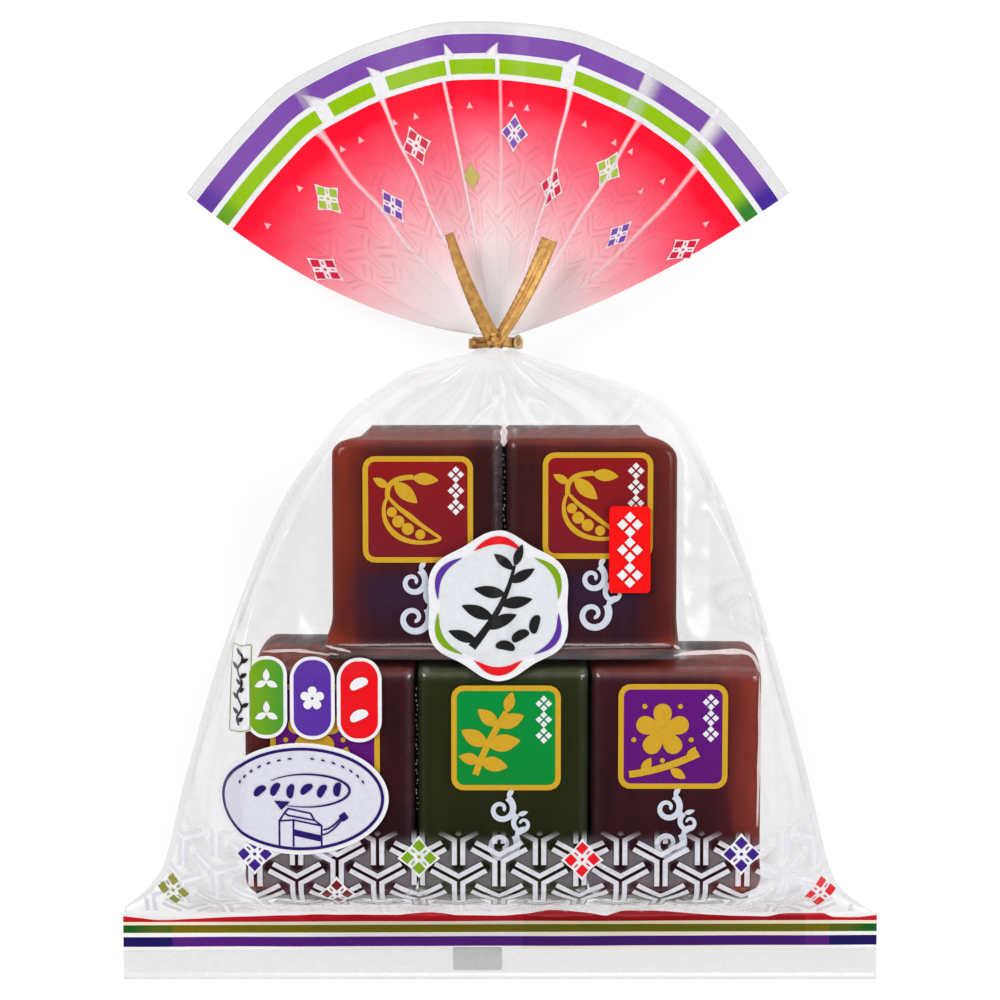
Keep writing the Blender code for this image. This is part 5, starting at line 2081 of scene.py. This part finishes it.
def foil_outline():
    """Cross-section of the foil ribbon: thin edges with a wire down the middle."""
    edge, thin, wire = RIBBON_WIDTH / 2, RIBBON_THICKNESS / 2, WIRE_DIAMETER / 2
    quarter = [(edge, thin * 0.4), (edge * 0.9, thin), (wire, thin), (wire * 0.5, wire)]
    upper = quarter + [(-x, y) for x, y in quarter[::-1]]
    return resample(np.array(upper + [(x, -y) for x, y in upper[::-1]]), 48)


# Jellies: name, dark, middle and bright colour
JELLIES = {
    "red": ("red bean jelly", (0.014, 0.003, 0.006), (0.088, 0.013, 0.011), (0.25, 0.030, 0.013)),
    "plum": (
        "plain bean jelly", (0.013, 0.003, 0.006), (0.055, 0.008, 0.013), (0.25, 0.036, 0.022),
    ),
    "green": (
        "tea bean jelly", (0.008, 0.010, 0.002), (0.022, 0.026, 0.003), (0.070, 0.090, 0.026),
    ),
}
# Inks of the seals and of the rest: name, colour, and the colour where the ink is deep, which on a
# seal's field is the painted light at its far edge
SEAL_INKS = {
    "red": ("seal red", (0.18, 0.008, 0.016), (0.27, 0.007, 0.009)),
    "green": ("seal green", (0.0, 0.235, 0.030), (0.0, 0.265, 0.045)),
    "purple": ("seal purple", (0.10, 0.004, 0.15), (0.12, 0.006, 0.20)),
}
INKS = {
    "olive": ("olive ink", (0.27, 0.29, 0.03)),
    "darkred": ("dark red ink", (0.16, 0.004, 0.010)),
    "red": ("red ink", (0.76, 0.006, 0.012), (0.80, 0.004, 0.01)),
    "bright": ("bright red ink", (0.88, 0.004, 0.004)),
    "green": ("green ink", (0.19, 0.36, 0.006), (0.05, 0.28, 0.03)),
    "lime": ("lime ink", (0.34, 0.50, 0.04)),
    "purple": ("purple ink", (0.10, 0.03, 0.32), (0.09, 0.03, 0.34)),
    "navy": ("navy ink", (0.045, 0.014, 0.20)),
    "hem_red": ("hem red", (0.70, 0.008, 0.020), (0.24, 0.004, 0.008)),
    "hem_olive": ("hem olive", (0.17, 0.14, 0.002), (0.008, 0.11, 0.014)),
    "hem_purple": ("hem purple", (0.085, 0.010, 0.19), (0.012, 0.008, 0.10)),
    "fan_purple": ("fan purple", (0.19, 0.065, 0.37), (0.05, 0.015, 0.28)),
    "fan_green": ("fan green", (0.27, 0.50, 0.0), (0.03, 0.20, 0.02)),
    "fan_red": ("rhomb red", (0.62, 0.01, 0.05)),
    "fan_lime": ("rhomb lime", (0.34, 0.50, 0.04)),
    "fan_olive": ("rhomb gold", (0.52, 0.42, 0.09)),
}


def make_contents(wrap):
    """The wrapped blocks, painted highlights on the wraps' crimped edges, painted shade below their
    ends, and the seam of the rows with painted shade.
    """
    make_blocks({kind: jelly(*colours) for kind, colours in JELLIES.items()}, wrap)
    make_wrap_edges(ink("crimped edge highlight", (0.88, 0.76, 0.74), fade=True))
    seam = {"deep": (0.018, 0.006, 0.008), "fade": True, "cover": 0.9}
    make_row_seam(ink("row seam shade", (0.14, 0.045, 0.045), **seam))
    make_wrap_end_shade(ink("wrap shadow", (0.042, 0.032, 0.016), fade=True, gloss=0.95, cover=0.9))


def main():
    """Builds the set and every piece, in the order of the layers."""
    make_camera()
    make_studio()
    film = clear_film("clear film", 0.056, 0.17, 1.0, 0.21)
    wrap = clear_film("block wrap", 0.022, 0.05, 0.8, 0.12)
    make_bag_film(film)
    make_fan_film(clear_film("fan film", 0.14, 0.04, 1.0, 0.50))
    make_contents(wrap)
    gold = ink("gold ink", (0.62, 0.36, 0.018), gloss=0.4)
    white = ink("white ink", (0.80, 0.80, 0.82))
    fields = {kind: ink(*colours) for kind, colours in SEAL_INKS.items()}
    make_seals(gold, fields, white, ink("scroll white", (0.62, 0.66, 0.74)))
    silver = ink("silver lines", (0.74, 0.73, 0.78), fade=True, cover=0.85)
    haze = ink("silver haze", (0.32, 0.29, 0.31), fade=True, gloss=0.9, cover=0.38)
    make_pattern(silver, haze, ink("line shadow", (0.05, 0.04, 0.045), fade=True, cover=0.75))
    inks = {kind: ink(*colours) for kind, colours in INKS.items()}
    make_diamonds(inks, white)
    pale = ink("label pale", (0.70, 0.72, 0.75))
    black = ink("brush black", (0.012, 0.012, 0.012))
    make_round_label(white, pale, inks, black)
    make_lozenges(white, inks, ink("thin olive line", (0.30, 0.38, 0.12)), black)
    lilac = ink("oval pale", (0.67, 0.67, 0.75))
    make_oval(white, lilac, ink("drawing purple", (0.020, 0.006, 0.13)))
    cream = ink("hem cream", (0.97, 0.97, 0.96), deep=(0.92, 0.78, 0.52))
    make_hem(inks, cream, ink("grey tab", (0.50, 0.51, 0.50), cover=0.85))
    make_fan_blush(blush("fan blush"))
    make_fan_bands(inks, white)
    make_fan_creases(ink("crease highlight", (0.88, 0.84, 0.87), fade=True))
    trace = ink("tile traces", (0.80, 0.17, 0.23), fade=True, gloss=0.8, cover=0.22)
    make_fan_rhombs(inks, ink("warm white", (0.86, 0.74, 0.76)))
    make_fan_triangles(ink("pale pink", (0.90, 0.50, 0.54), fade=True))
    make_fan_traces(trace)
    foil = gold_foil("gold foil", (0.78, 0.42, 0.10), (0.22, 0.085, 0.012))
    make_tie(foil, gold_foil("pale foil", (0.80, 0.62, 0.36), (0.6, 0.4, 0.2)))


def blush(name):
    """The fan's print: red at the bands, pink half way, nearly white and clearer at the neck."""
    shader = Shader(name)
    reach = shader.attribute("reach")
    cloud = shader.noise(160.0, 3.0)
    stops = [
        (0.0, (0.95, 0.0, 0.020)), (0.06, (0.93, 0.002, 0.028)), (0.14, (0.91, 0.040, 0.085)),
        (0.27, (0.90, 0.13, 0.19)), (0.45, (0.89, 0.33, 0.38)), (0.62, (0.90, 0.56, 0.59)),
        (0.80, (0.92, 0.78, 0.79)), (1.0, (0.94, 0.92, 0.92)),
    ]
    tone = shader.node("ValToRGB", {"stops": stops}, {0: (reach + 0.10 * (cloud - 0.5)).clamped()})
    shader.set(Base_Color=tone, Roughness=0.5 + 0.1 * cloud, Specular_IOR_Level=0.12)
    shader.set(Alpha=(1.04 - 0.62 * reach * reach + 0.05 * cloud).clamped())
    return shader.material


main()
